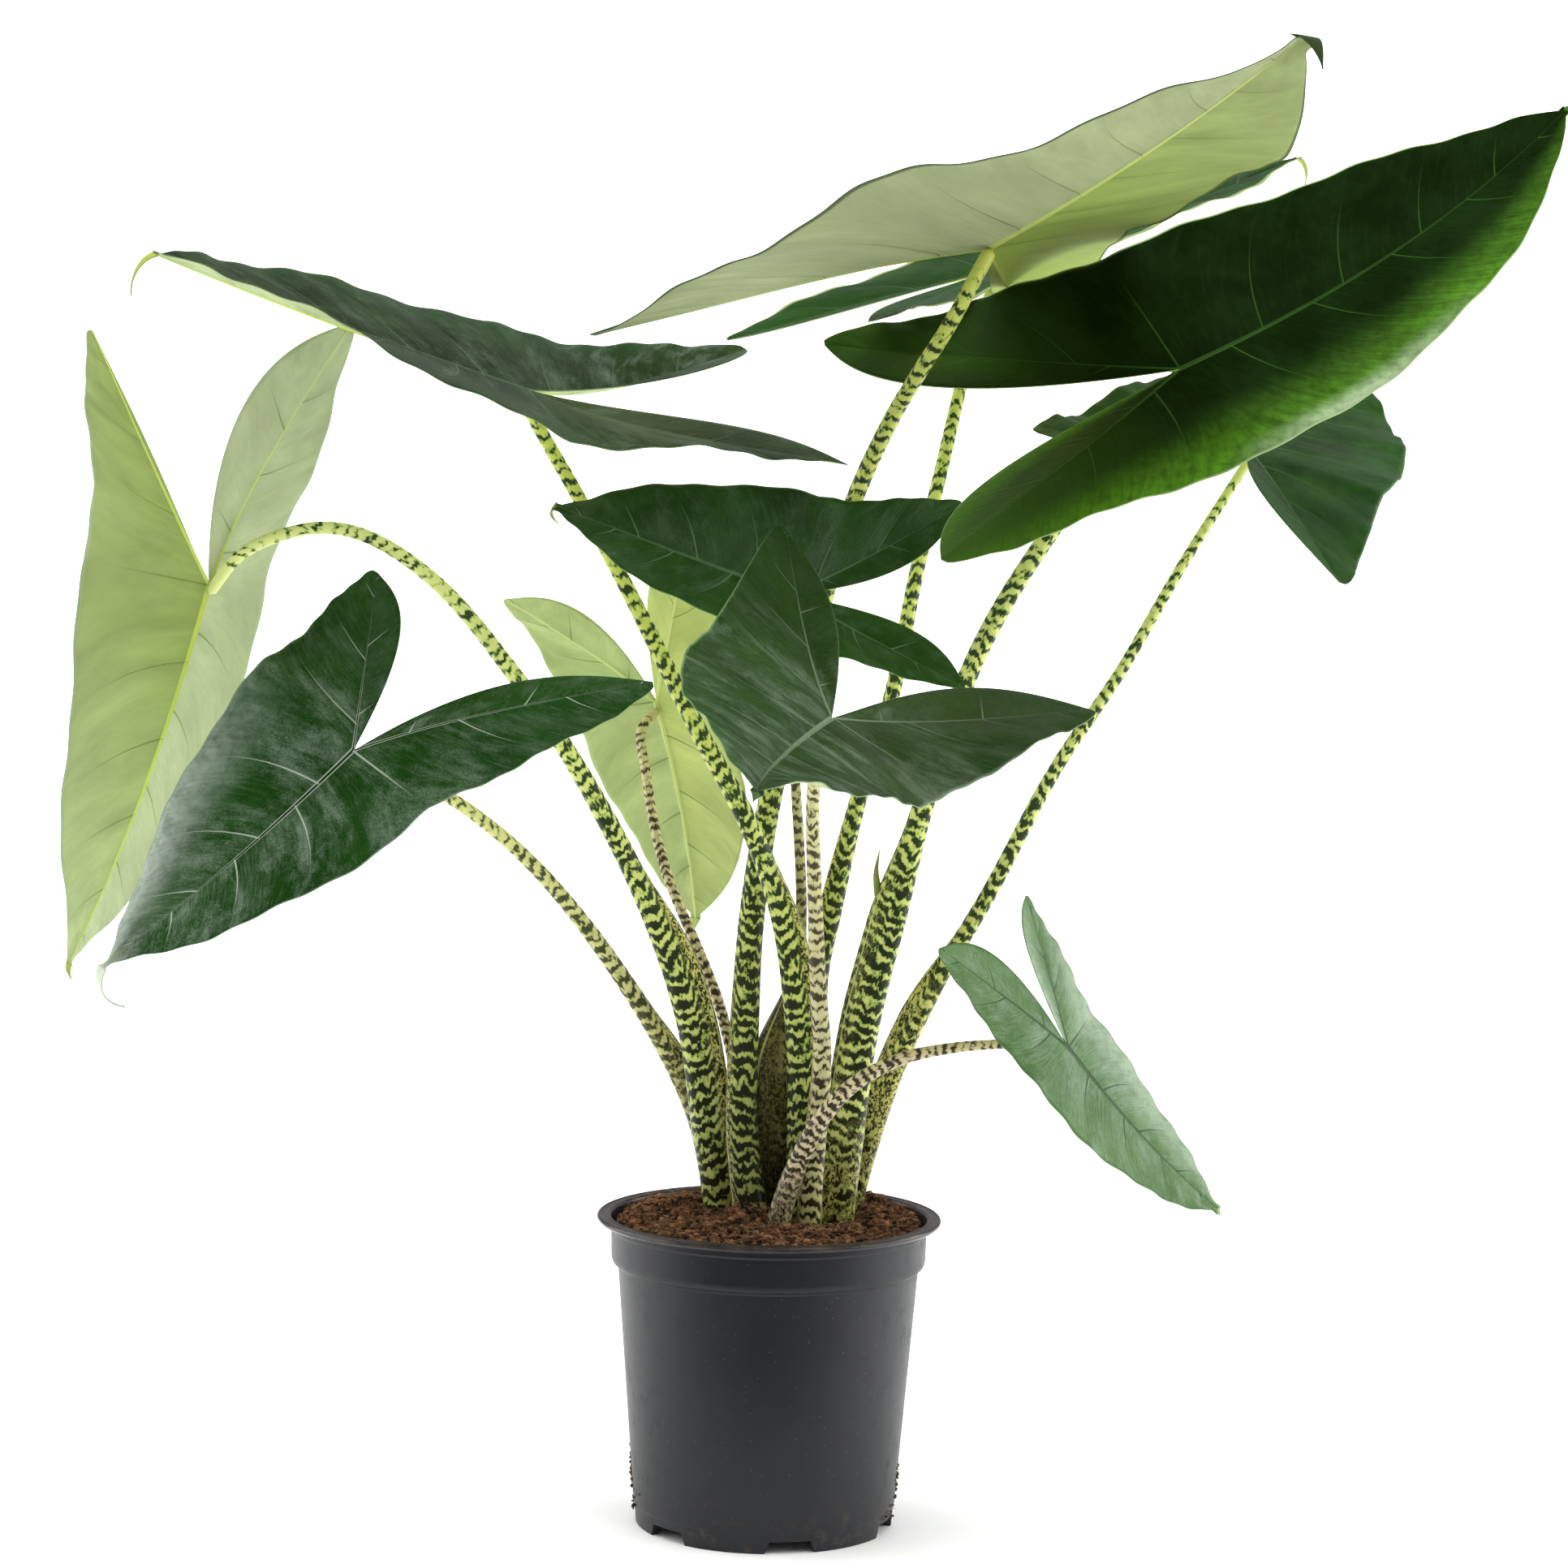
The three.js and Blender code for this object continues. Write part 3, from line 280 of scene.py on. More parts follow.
def blade_patches(leaf, look):
    """The blade's middle sheet as four grids of points in mm, each with its side, the vein coordinates,
    the place on the blade and the ridge height under each point."""
    columns = np.linspace(0, 1, COLUMNS) ** 1.25
    inner_columns = np.linspace(0, 1, INNER_COLUMNS)
    front_u = np.linspace(1, 0, FRONT_ROWS)
    lobe_v = np.linspace(0, 1, LOBE_ROWS)
    mid_u = front_u[::-1]
    bend = rotations((0, 0, 1), np.radians(leaf["bend"]) * mid_u)
    arch = rotations((0, 1, 0), np.radians(leaf["arch"]) * mid_u ** ARCH_POWER)
    mid_turns = bend @ arch
    mid = rib_line(mid_turns[:, :, 0], leaf["length"])
    tail_length, tail_hook = leaf["tail"]
    tail_u = np.linspace(0, 1, TAIL_ROWS)
    tail_turns = mid_turns[-1] @ rotations((0, 1, 0), np.radians(tail_hook) * np.sqrt(tail_u))
    tail = mid[-1] + rib_line(tail_turns[:, :, 0], tail_length)
    height, count = leaf["wave"]
    veins = look["veins"]
    lobe_veins = veins * LOBE_VEIN_SHARE
    patches = []
    for index, side in enumerate((1, -1)):
        half = leaf["half"][index]
        lobe_length = leaf["lobe"][index]
        spread, drop, fold, fold_tip, fold_lobe, fold_inner = (
            math.radians(leaf[key][index])
            for key in ("spread", "drop", "fold", "foldTip", "foldLobe", "foldInner"))
        curl = math.radians(CURL)
        share = lobe_length / (lobe_length + leaf["length"])

        def margin_lift(s, across):
            fade = smooth(s, 0, WAVE_FADE[0]) * (1 - smooth(s, WAVE_FADE[1], 1))
            wave = height * np.sin(2 * np.pi * count * s + leaf["length"] + side) * fade
            ripple = RIPPLE_HEIGHT * np.sin(2 * np.pi * count * RIPPLE_RATE * s + side * 2) * fade
            return wave[:, None] * across ** 2 + ripple[:, None] * across ** 4

        def vein_count(place, across, number):
            lean = (VEIN_LEAN[0] * across + VEIN_LEAN[1] * across ** 2) * (1 - place[:, None])
            fan = 1 - np.exp(-VEIN_FAN * place[:, None])
            return (place[:, None] - lean * fan) * number

        def quilt(w, across):
            bulge = np.abs(np.sin(np.pi * w)) ** 0.7 - 0.5
            return QUILT_HEIGHT * bulge * smooth(across, 0.02, 0.25) * (1 - smooth(across, 0.6, 1))

        # Drip tip and front half, from the tip back to the junction.
        tip_width = leaf.get("blunt", TIP_HALF_WIDTH)
        width = np.maximum(half * np.maximum(1 - front_u, 0) ** 0.9 * (1 + 0.75 * front_u),
                           tip_width)
        rise = fold + (fold_tip - fold) * front_u ** FOLD_POWER
        heading = np.radians(FRONT_HEADING[0] + (FRONT_HEADING[1] - FRONT_HEADING[0]) * front_u)
        bent = curl * (1 + (CURL_TIP_SHARE - 1) * front_u)
        w_front = vein_count(front_u, columns, veins) + (0 if side > 0 else VEIN_OFFSET)
        lift = margin_lift((1 - front_u) * (1 - share), columns)
        lift = lift + quilt(w_front, columns) * smooth(1 - front_u, 0, 0.15)[:, None]
        front = rays(mid[::-1], mid_turns[::-1], heading, side, rise, bent, width, columns, lift)
        rib = MIDRIB_HALF_WIDTH * (1 - 0.75 * front_u)
        front_rib = width[:, None] * columns / rib[:, None]
        front_ridge = MIDRIB_HEIGHT * (1 - 0.75 * front_u)[:, None] * (1 - smooth(front_rib, 0, 1))
        back = tail_u[:0:-1]
        tail_reach = np.maximum(tip_width * (1 - back) ** TIP_TAPER_POWER,
                                TAIL_HALF_WIDTH * (1 + (TAIL_END_SHARE - 1) * back) * 0.8)
        n = len(tail_reach)
        tip = rays(tail[:0:-1], tail_turns[:0:-1], np.full(n, np.pi / 2), side, np.zeros(n),
                   np.zeros(n), tail_reach, columns, np.zeros((n, len(columns))))
        # The lobe outside its rib.
        backward = np.array([-math.cos(spread), side * math.sin(spread), 0.0])
        hinge = np.cross([0, 0, 1], backward)
        lobe_turns = rotations(hinge, drop * (1 - (1 - lobe_v) ** DROP_POWER))
        lobe = rib_line(lobe_turns @ backward, lobe_length)
        rise = fold + (fold_lobe - fold) * smooth(lobe_v, 0, LOBE_FOLD_REACH)
        reach = half * np.maximum(1 - lobe_v, 0) ** 0.6 * (1 - 0.28 * lobe_v)
        heading = np.radians(LOBE_HEADING[0] + (LOBE_HEADING[1] - LOBE_HEADING[0]) * lobe_v)
        w_lobe = (0 if side > 0 else VEIN_OFFSET) - vein_count(lobe_v, columns, lobe_veins)
        lift = margin_lift(1 - share + lobe_v * share, columns)
        lift = lift + quilt(w_lobe, columns) * smooth(1 - lobe_v, 0, 0.15)[:, None]
        outer = rays(lobe, lobe_turns, heading, side, rise, np.full(LOBE_ROWS, curl), reach,
                     columns, lift)
        rib = LOBE_RIB_HALF_WIDTH * (1 - 0.8 * lobe_v)
        lobe_rib = reach[:, None] * columns / rib[:, None]
        lobe_ridge = LOBE_RIB_HEIGHT * (1 - lobe_v)[:, None] * (1 - smooth(lobe_rib, 0, 1))
        # At the junction the ribs of the front and of the lobes run together in one swelling.
        lobe_ridge[0] = front_ridge[-1]
        # The drip tip, the front and the lobe join in one grid along the outer margin.
        grid = np.concatenate([tip, front, outer[1:]])
        w = np.concatenate([np.full(tip.shape[:2], 0.5), w_front, w_lobe[1:]])
        gap = np.concatenate([np.full(n, 10.0), np.full(FRONT_ROWS, leaf["length"] / veins),
                              np.full(LOBE_ROWS - 1, lobe_length / lobe_veins)])
        place = np.concatenate([1 + back, front_u, -lobe_v[1:]])
        ratio = np.concatenate([np.full(tip.shape[:2], 0.5), front_rib, lobe_rib[1:]])
        ridge = np.concatenate([np.zeros(tip.shape[:2]), front_ridge, lobe_ridge[1:]])
        shape = grid.shape[:2]
        patches.append(dict(
            points=grid, side=side, ridge=ridge,
            vein=np.stack([w, np.broadcast_to(gap[:, None], shape),
                           np.broadcast_to(columns, shape)], axis=-1),
            spot=np.stack([np.broadcast_to(place[:, None], shape), np.full(shape, side), ratio],
                          axis=-1)))
        # Inside the lobe rib, towards the sinus.
        depth = leaf["inner"][index] * np.maximum(np.sin(np.pi * lobe_v), 0)
        depth[0] = depth[-1] = 0
        inward = np.pi - spread + np.radians(
            SINUS_HEADING[0] + (SINUS_HEADING[1] - SINUS_HEADING[0]) * lobe_v)
        flat = np.zeros(LOBE_ROWS)
        inner = rays(lobe, lobe_turns, inward, side, flat + fold_inner, flat, depth, inner_columns,
                     np.zeros((LOBE_ROWS, INNER_COLUMNS)))
        shape = inner.shape[:2]
        inner_rib = depth[:, None] * inner_columns / rib[:, None]
        inner_ridge = LOBE_RIB_HEIGHT * (1 - lobe_v)[:, None] * (1 - smooth(inner_rib, 0, 1))
        inner_ridge[0] = front_ridge[-1, 0]
        patches.append(dict(
            points=inner, side=-side, ridge=inner_ridge,
            vein=np.stack([np.broadcast_to((lobe_v * 2.6 + 0.5)[:, None], shape),
                           np.full(shape, lobe_length / 2.6),
                           np.broadcast_to(inner_columns, shape)], axis=-1),
            spot=np.stack([np.broadcast_to(-lobe_v[:, None], shape), np.full(shape, side),
                           inner_rib], axis=-1)))
    return patches


def blade_mesh(leaf, look):
    """Points in metres, faces, material number of each face, and the values kept at each corner."""
    points, ridges, values, faces = [], [], [], []
    start = 0
    for patch in blade_patches(leaf, look):
        rows, columns = patch["points"].shape[:2]
        points.append(patch["points"].reshape(-1, 3))
        ridges.append(patch["ridge"].reshape(-1))
        pair = [patch["vein"].reshape(-1, 3), patch["spot"].reshape(-1, 3)]
        values.append(np.concatenate(pair, 1))
        ids = start + np.arange(rows * columns).reshape(rows, columns)
        a, b, c, d = ids[:-1, :-1], ids[1:, :-1], ids[1:, 1:], ids[:-1, 1:]
        order = (a, d, c, b) if patch["side"] > 0 else (a, b, c, d)
        faces.append(np.stack([corner.reshape(-1) for corner in order], axis=1))
        start += rows * columns
    points = np.concatenate(points)
    ridges = np.concatenate(ridges)
    values = np.concatenate(values)
    faces = np.concatenate(faces)
    _, first, same = np.unique(np.round(points, 4), axis=0, return_index=True, return_inverse=True)
    same = same.reshape(-1)
    sheet = points[first]
    corners = same[faces]
    normals = np.zeros_like(sheet)
    face_normals = np.cross(sheet[corners[:, 2]] - sheet[corners[:, 0]],
                            sheet[corners[:, 3]] - sheet[corners[:, 1]])
    for k in range(4):
        np.add.at(normals, corners[:, k], face_normals)
    normals /= np.maximum(np.linalg.norm(normals, axis=1), 1e-9)[:, None]
    across = values[first, 2]
    thick = BLADE_HALF_THICKNESS + (MARGIN_HALF_THICKNESS - BLADE_HALF_THICKNESS) * across ** 3
    frame_axes = blade_axes(leaf)
    upper = sheet + normals * thick[:, None]
    lower = sheet - normals * (thick + ridges[first])[:, None]
    both = np.concatenate([upper, lower]) @ frame_axes.T + np.array(leaf["at"], float)
    n = len(sheet)
    shown, kinds, sources = [], [], []
    edges = {}
    for quad, welded in zip(faces.tolist(), corners.tolist()):
        keep = [k for k in range(4) if welded[k] != welded[k - 1]]
        if len(keep) < 3:
            continue
        ring = [welded[k] for k in keep]
        source = [quad[k] for k in keep]
        shown.append(ring)
        kinds.append(0)
        sources.extend(source)
        shown.append([n + p for p in reversed(ring)])
        kinds.append(1)
        sources.extend(reversed(source))
        for k, p in enumerate(ring):
            edges[(p, ring[(k + 1) % len(ring)])] = (source[k], source[(k + 1) % len(ring)])
    for (p, q), (source_p, source_q) in edges.items():
        if (q, p) not in edges:
            shown.append([q, p, n + p, n + q])
            kinds.append(2)
            sources.extend([source_q, source_p, source_p, source_q])
    both = np.clip(both * MM + POT_AXIS, *cad_box)
    return both, shown, kinds, values[sources]


def linear(code):
    """A linear colour from an sRGB hex code."""
    parts = [int(code[k:k + 2], 16) / 255 for k in (1, 3, 5)]
    return [c / 12.92 if c <= 0.04045 else ((c + 0.055) / 1.055) ** 2.4 for c in parts] + [1.0]


def add(tree, kind, *values, out=0, **settings):
    """One shader node, given back as one output socket, or as all of them for out=None. Values fill
    its inputs in order, or by number from a dict, and are sockets to link from or plain. A
    MapRange takes the value, its low and high end, and what these become. A setting is an input if
    the node has one of that name, and else a property."""
    node = tree.nodes.new("ShaderNode" + kind)
    inputs = values[0] if values and isinstance(values[0], dict) else dict(enumerate(values))
    for key, value in settings.items():
        if key in node.inputs:
            inputs[key] = value
        else:
            setattr(node, key, value)
    for key, value in inputs.items():
        if isinstance(value, bpy.types.NodeSocket):
            tree.links.new(value, node.inputs[key])
        elif value is not None:
            node.inputs[key].default_value = value
    return node.outputs if out is None else node.outputs[out]


def surface(name, **values):
    """A new material and its tree, with one Principled shader set to the values."""
    material = bpy.data.materials.new(name)
    material.use_nodes = True
    shader = material.node_tree.nodes["Principled BSDF"]
    for key, value in values.items():
        shader.inputs[key.replace("_", " ")].default_value = value
    return material, material.node_tree, shader


def piece(name, points, faces, materials, kinds=None):
    """A smooth mesh object in the scene, from points in metres."""
    mesh = bpy.data.meshes.new(name)
    mesh.from_pydata([tuple(p) for p in points], [], faces)
    for material in materials:
        mesh.materials.append(material)
    if kinds is not None:
        mesh.polygons.foreach_set("material_index", np.array(kinds, dtype=np.int32))
    mesh.polygons.foreach_set("use_smooth", np.ones(len(mesh.polygons), dtype=bool))
    mesh.update()
    made = bpy.data.objects.new(name, mesh)
    bpy.context.scene.collection.objects.link(made)
    return made


def vein_pattern(tree, vein_width):
    """Masks that both faces of a blade share: side veins, main ribs, and fine parallel lines."""
    vein = add(tree, "Attribute", out="Vector", attribute_name="vein")
    spot = add(tree, "Attribute", out="Vector", attribute_name="spot")
    count, gap, across = add(tree, "SeparateXYZ", vein, out=None)
    place, side, ratio = add(tree, "SeparateXYZ", spot, out=None)
    # Distance in mm from the nearest side vein, which thins towards the margin.
    nearest = add(tree, "Math", count, 0.5, operation="PINGPONG")
    distance = add(tree, "Math", nearest, gap, operation="MULTIPLY")
    limit = add(tree, "MapRange", across, 0.0, 0.85, vein_width, vein_width * 0.2)
    scaled = add(tree, "Math", distance, limit, operation="DIVIDE")
    line, fade, ribs, groove = (
        add(tree, "MapRange", value, near, far, 1.0, 0.0, interpolation_type="SMOOTHSTEP")
        for value, near, far in ((scaled, 0.4, 1.5), (across, 0.25, 0.9), (ratio, 0.62, 0.9),
                                 (ratio, 0.26, 0.46)))
    line = add(tree, "Math", line, fade, operation="MULTIPLY")
    # Parallel lines about 2 mm apart run with the side veins. Stretched noise keeps them uneven.
    closer, longer = (add(tree, "Math", value, times, operation="MULTIPLY")
                      for value, times in ((count, 22.0), (across, 3.0)))
    stretched = add(tree, "CombineXYZ", closer, longer, side)
    lines = add(tree, "TexNoise", stretched, Scale=1.0, Detail=3.0, Roughness=0.6)
    flow = add(tree, "CombineXYZ", count, across, side)
    return dict(line=line, ribs=ribs, groove=groove, lines=lines, near=distance, across=across,
                side=side, place=place, flow=flow)


def living_upper_skin(name, look):
    """Waxy upper skin: deep green and half glossy, so it holds broad highlights of the room."""
    material, tree, shader = surface(name + "_waxy_upper_skin", Roughness=look["shine"], IOR=1.42,
                                     Specular_IOR_Level=look["gloss"])
    masks = vein_pattern(tree, 0.62)
    place, across, lines = masks["place"], masks["across"], masks["lines"]
    where = add(tree, "TexCoord", out="Object")
    # Clouds about 45 mm across, blotches about 7 mm, and grit of about 1 mm in the set wax and its
    # painted sheen.
    clouds = add(tree, "TexNoise", where, Scale=22.0, Detail=3.0)
    blotch = add(tree, "TexNoise", where, Scale=130.0, Detail=4.0, Roughness=0.65)
    grit = add(tree, "TexNoise", where, Scale=900.0, Detail=2.0)
    cloudy = add(tree, "Math", blotch, 0.45, clouds, operation="MULTIPLY_ADD")
    cloudy = add(tree, "MapRange", cloudy, 0.5, 1.0, interpolation_type="SMOOTHSTEP")
    # The skin is lighter towards the lobes' ends.
    ends = add(tree, "MapRange", place, -0.15, -0.9, 0.0, 0.75)
    coats = [(cloudy, look["patch"]), (ends, look["lobe_end"])]
    # Painted light through the margin of one half, in rays along the fine veins; on the fifth and
    # eleventh leaves it is a painted sheen. One stretch of the second leaf's margin carries a nearly
    # white painted highlight.
    side, tint, reach, strength, middle, half = look["glow"]
    this_half = add(tree, "Math", masks["side"], 1.0 if side == "left" else -1.0,
                    operation="MULTIPLY", use_clamp=True)
    uneven = add(tree, "MapRange", lines, 0.3, 0.7, strength * (1 - look["rays"]), strength)
    grainy = add(tree, "MapRange", blotch, 0.3, 0.62, 0.5, 1.0)
    lights = [(1.0 - reach, 1.05, middle, half * 0.3, half, 1.0, tint, [uneven, grainy])]
    if "gleam" in look:
        middle, half, strength = look["gleam"]
        lights.append((0.82, 1.0, middle, 0.0, half, strength, "#cfdcbc", [grainy]))
    for inner, outer, middle, full, half, strength, tint, parts in lights:
        lit = add(tree, "MapRange", across, inner, outer, interpolation_type="SMOOTHSTEP")
        off = add(tree, "Math", place, middle, operation="SUBTRACT")
        off = add(tree, "Math", off, operation="ABSOLUTE")
        stretch = add(tree, "MapRange", off, full, half, strength, 0.0,
                      interpolation_type="SMOOTHSTEP")
        for factor in [stretch, this_half, *parts]:
            lit = add(tree, "Math", lit, factor, operation="MULTIPLY")
        coats.append((lit, tint))
    # Pale wax and a painted sheen lie in smears that run with the side veins, with a gritty edge of
    # about 1 mm.
    drawn_out = add(tree, "Mapping", masks["flow"], Scale=(3.2, 1.6, 1.0))
    smear = add(tree, "TexNoise", drawn_out, Scale=1.0, Detail=5.0, Roughness=0.62, Distortion=0.4)
    wax_and_sheen_pattern = add(tree, "Math", grit, 0.38, smear, operation="MULTIPLY_ADD")
    wax_and_sheen_pattern = add(tree, "Math", blotch, 0.25, wax_and_sheen_pattern, operation="MULTIPLY_ADD")
    wax_and_sheen = add(tree, "MapRange", wax_and_sheen_pattern, 0.73, 1.14, 0.0, look["bloom_and_sheen"] * 0.5,
              interpolation_type="SMOOTHSTEP")
    on_lobes = add(tree, "MapRange", place, -0.05, -0.5, 1.0, look["lobe_wax_and_sheen"])
    wax_and_sheen = add(tree, "Math", wax_and_sheen, on_lobes, operation="MULTIPLY", use_clamp=True)
    faint = add(tree, "MapRange", lines, 0.52, 0.72, 0.0, 0.07)
    # The midrib is a groove with painted shade in it, between two pale lips, which are weaker away
    # from the junction.
    dark = add(tree, "Math", masks["groove"], look["groove"], operation="MULTIPLY")
    deep = add(tree, "Math", dark, 0.75, operation="MULTIPLY")
    lips = add(tree, "Math", masks["ribs"], dark, operation="SUBTRACT")
    away = add(tree, "Math", place, operation="ABSOLUTE")
    weaker = add(tree, "MapRange", away, 0.05, 0.9, 1.0, 0.3)
    lips = add(tree, "Math", lips, weaker, operation="MULTIPLY")
    veins = add(tree, "Math", masks["line"], lips, operation="MAXIMUM")
    shown = add(tree, "Math", veins, 0.75, operation="MULTIPLY")
    # The drip tip's own colour; on the fifth leaf its long pale end is a painted sheen.
    end = add(tree, "MapRange", place, look["tip_reach"], 1.12, interpolation_type="SMOOTHSTEP")
    # The last millimetre of the margin is nearly clear.
    start = look["hem_reach"]
    hem = add(tree, "MapRange", across, start, start * 0.4 + 0.6, 0.0, 0.7)
    coats += [(wax_and_sheen, "#8b9c8a"), (faint, look["vein"]), (deep, "#0b1606"), (shown, look["vein"]),
              (end, look["tip"]), (hem, look["hem"])]
    colour = linear(look["upper"])
    for amount, tint in coats:
        colour = add(tree, "Mix", {0: amount, 6: colour, 7: linear(tint)}, out=2, data_type="RGBA")
    rough = add(tree, "MapRange", wax_and_sheen_pattern, 0.68, 1.08, look["shine"] - 0.08, look["shine"] + 0.12)
    relief = veins
    for part, height in ((lines, 1.1), (masks["groove"], -1.5), (blotch, 0.5)):
        relief = add(tree, "Math", part, height, relief, operation="MULTIPLY_ADD")
    bump = add(tree, "Bump", Height=relief, Strength=0.6, Distance=0.0008)
    tree.links.new(colour, shader.inputs["Base Color"])
    tree.links.new(rough, shader.inputs["Roughness"])
    tree.links.new(bump, shader.inputs["Normal"])
    return material


def living_under_skin(name, look):
    """Matt under skin: pale sage green with yellow-green ribs, darker along the veins."""
    material, tree, shader = surface(name + "_matt_under_skin", Roughness=0.65, IOR=1.4,
                                     Specular_IOR_Level=0.2)
    masks = vein_pattern(tree, 0.55)
    place, lines = masks["place"], masks["lines"]
    drawn_out = add(tree, "Mapping", masks["flow"], Scale=(2.6, 1.3, 1.0))
    clouds = add(tree, "TexNoise", drawn_out, Scale=1.0, Detail=4.0, Roughness=0.6, Distortion=0.3)
    # The other half takes the colour of painted light that shines through it.
    side, tint = look["under_lit_through"]
    lit_through_half = add(tree, "Math", masks["side"], 1.0 if side == "left" else -1.0, operation="MULTIPLY",
                use_clamp=True)
    for value, low, high, at_low, at_high in ((masks["across"], 0.0, 1.0, 0.95, 0.7),
                                              (place, 0.1, 1.0, 1.0, 0.35)):
        part = add(tree, "MapRange", value, low, high, at_low, at_high)
        lit_through_half = add(tree, "Math", lit_through_half, part, operation="MULTIPLY")
    colour = add(tree, "Mix", {0: lit_through_half, 6: linear(look["under"]), 7: linear(tint)}, out=2,
                 data_type="RGBA")
    # Painted shade in the hollows beside each side vein and along the blade from the lobes to the
    # tip, and lighter and darker clouds drawn out along the veins.
    shade = 1.0
    for value, low, high, at_low, at_high in ((masks["near"], 0.0, 9.0, 0.93, 1.01),
                                              (clouds, 0.3, 0.7, 0.82, 1.12),
                                              (place, -0.8, 0.9, *look["tone"])):
        part = add(tree, "MapRange", value, low, high, at_low, at_high)
        shade = add(tree, "Math", shade, part, operation="MULTIPLY")
    colour = add(tree, "HueSaturation", Value=shade, Color=colour)
    faint = add(tree, "MapRange", lines, 0.5, 0.7, 0.0, 0.25)
    line = add(tree, "Math", masks["line"], 0.8, operation="MULTIPLY")
    end = add(tree, "MapRange", place, 0.985, 1.1, interpolation_type="SMOOTHSTEP")
    hem = add(tree, "MapRange", masks["across"], 0.965, 0.98, 0.0, 0.7)
    for amount, tint in ((faint, "#8a9f5c"), (line, "#74893f"), (masks["ribs"], look["ribs"]),
                         (end, look["tip"]), (hem, look["hem"])):
        colour = add(tree, "Mix", {0: amount, 6: colour, 7: linear(tint)}, out=2, data_type="RGBA")
    relief = add(tree, "Math", lines, 0.3, masks["line"], operation="MULTIPLY_ADD")
    bump = add(tree, "Bump", Height=relief, Strength=0.6, Distance=0.001)
    tree.links.new(colour, shader.inputs["Base Color"])
    tree.links.new(bump, shader.inputs["Normal"])
    return material


def clear_hem(name, look):
    """The margin, a thin hem without green flesh that catches the light as a line. On the second leaf
    its pale colour is partly a painted highlight.
    """
    material, tree, shader = surface(name + "_clear_hem", Roughness=0.45, IOR=1.4)
    where = add(tree, "TexCoord", out="Object")
    fine = add(tree, "TexNoise", where, Scale=90.0, Detail=2.0)
    shade = [c * 0.7 for c in linear(look["hem"])[:3]] + [1.0]
    colour = add(tree, "Mix", {0: fine, 6: shade, 7: linear(look["hem"])}, out=2, data_type="RGBA")
    tree.links.new(colour, shader.inputs["Base Color"])
    return material


blade_trees = {}
for name, leaf in LEAVES.items():
    look = LOOKS[name]
    points, faces, kinds, values = blade_mesh(leaf, look)
    skins = [living_upper_skin(name, look), living_under_skin(name, look), clear_hem(name, look)]
    blade = piece(name + "_blade", points, faces, skins, kinds)
    for label, columns in (("vein", values[:, :3]), ("spot", values[:, 3:])):
        kept = blade.data.attributes.new(label, "FLOAT_VECTOR", "CORNER")
        kept.data.foreach_set("vector", np.ascontiguousarray(columns, dtype=np.float32).reshape(-1))
    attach(blade, "root")
    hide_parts(name)
    upper = [f for f, kind in zip(faces, kinds) if kind == 0]
    blade_trees[name] = BVHTree.FromPolygons([Vector(p) for p in points], upper)

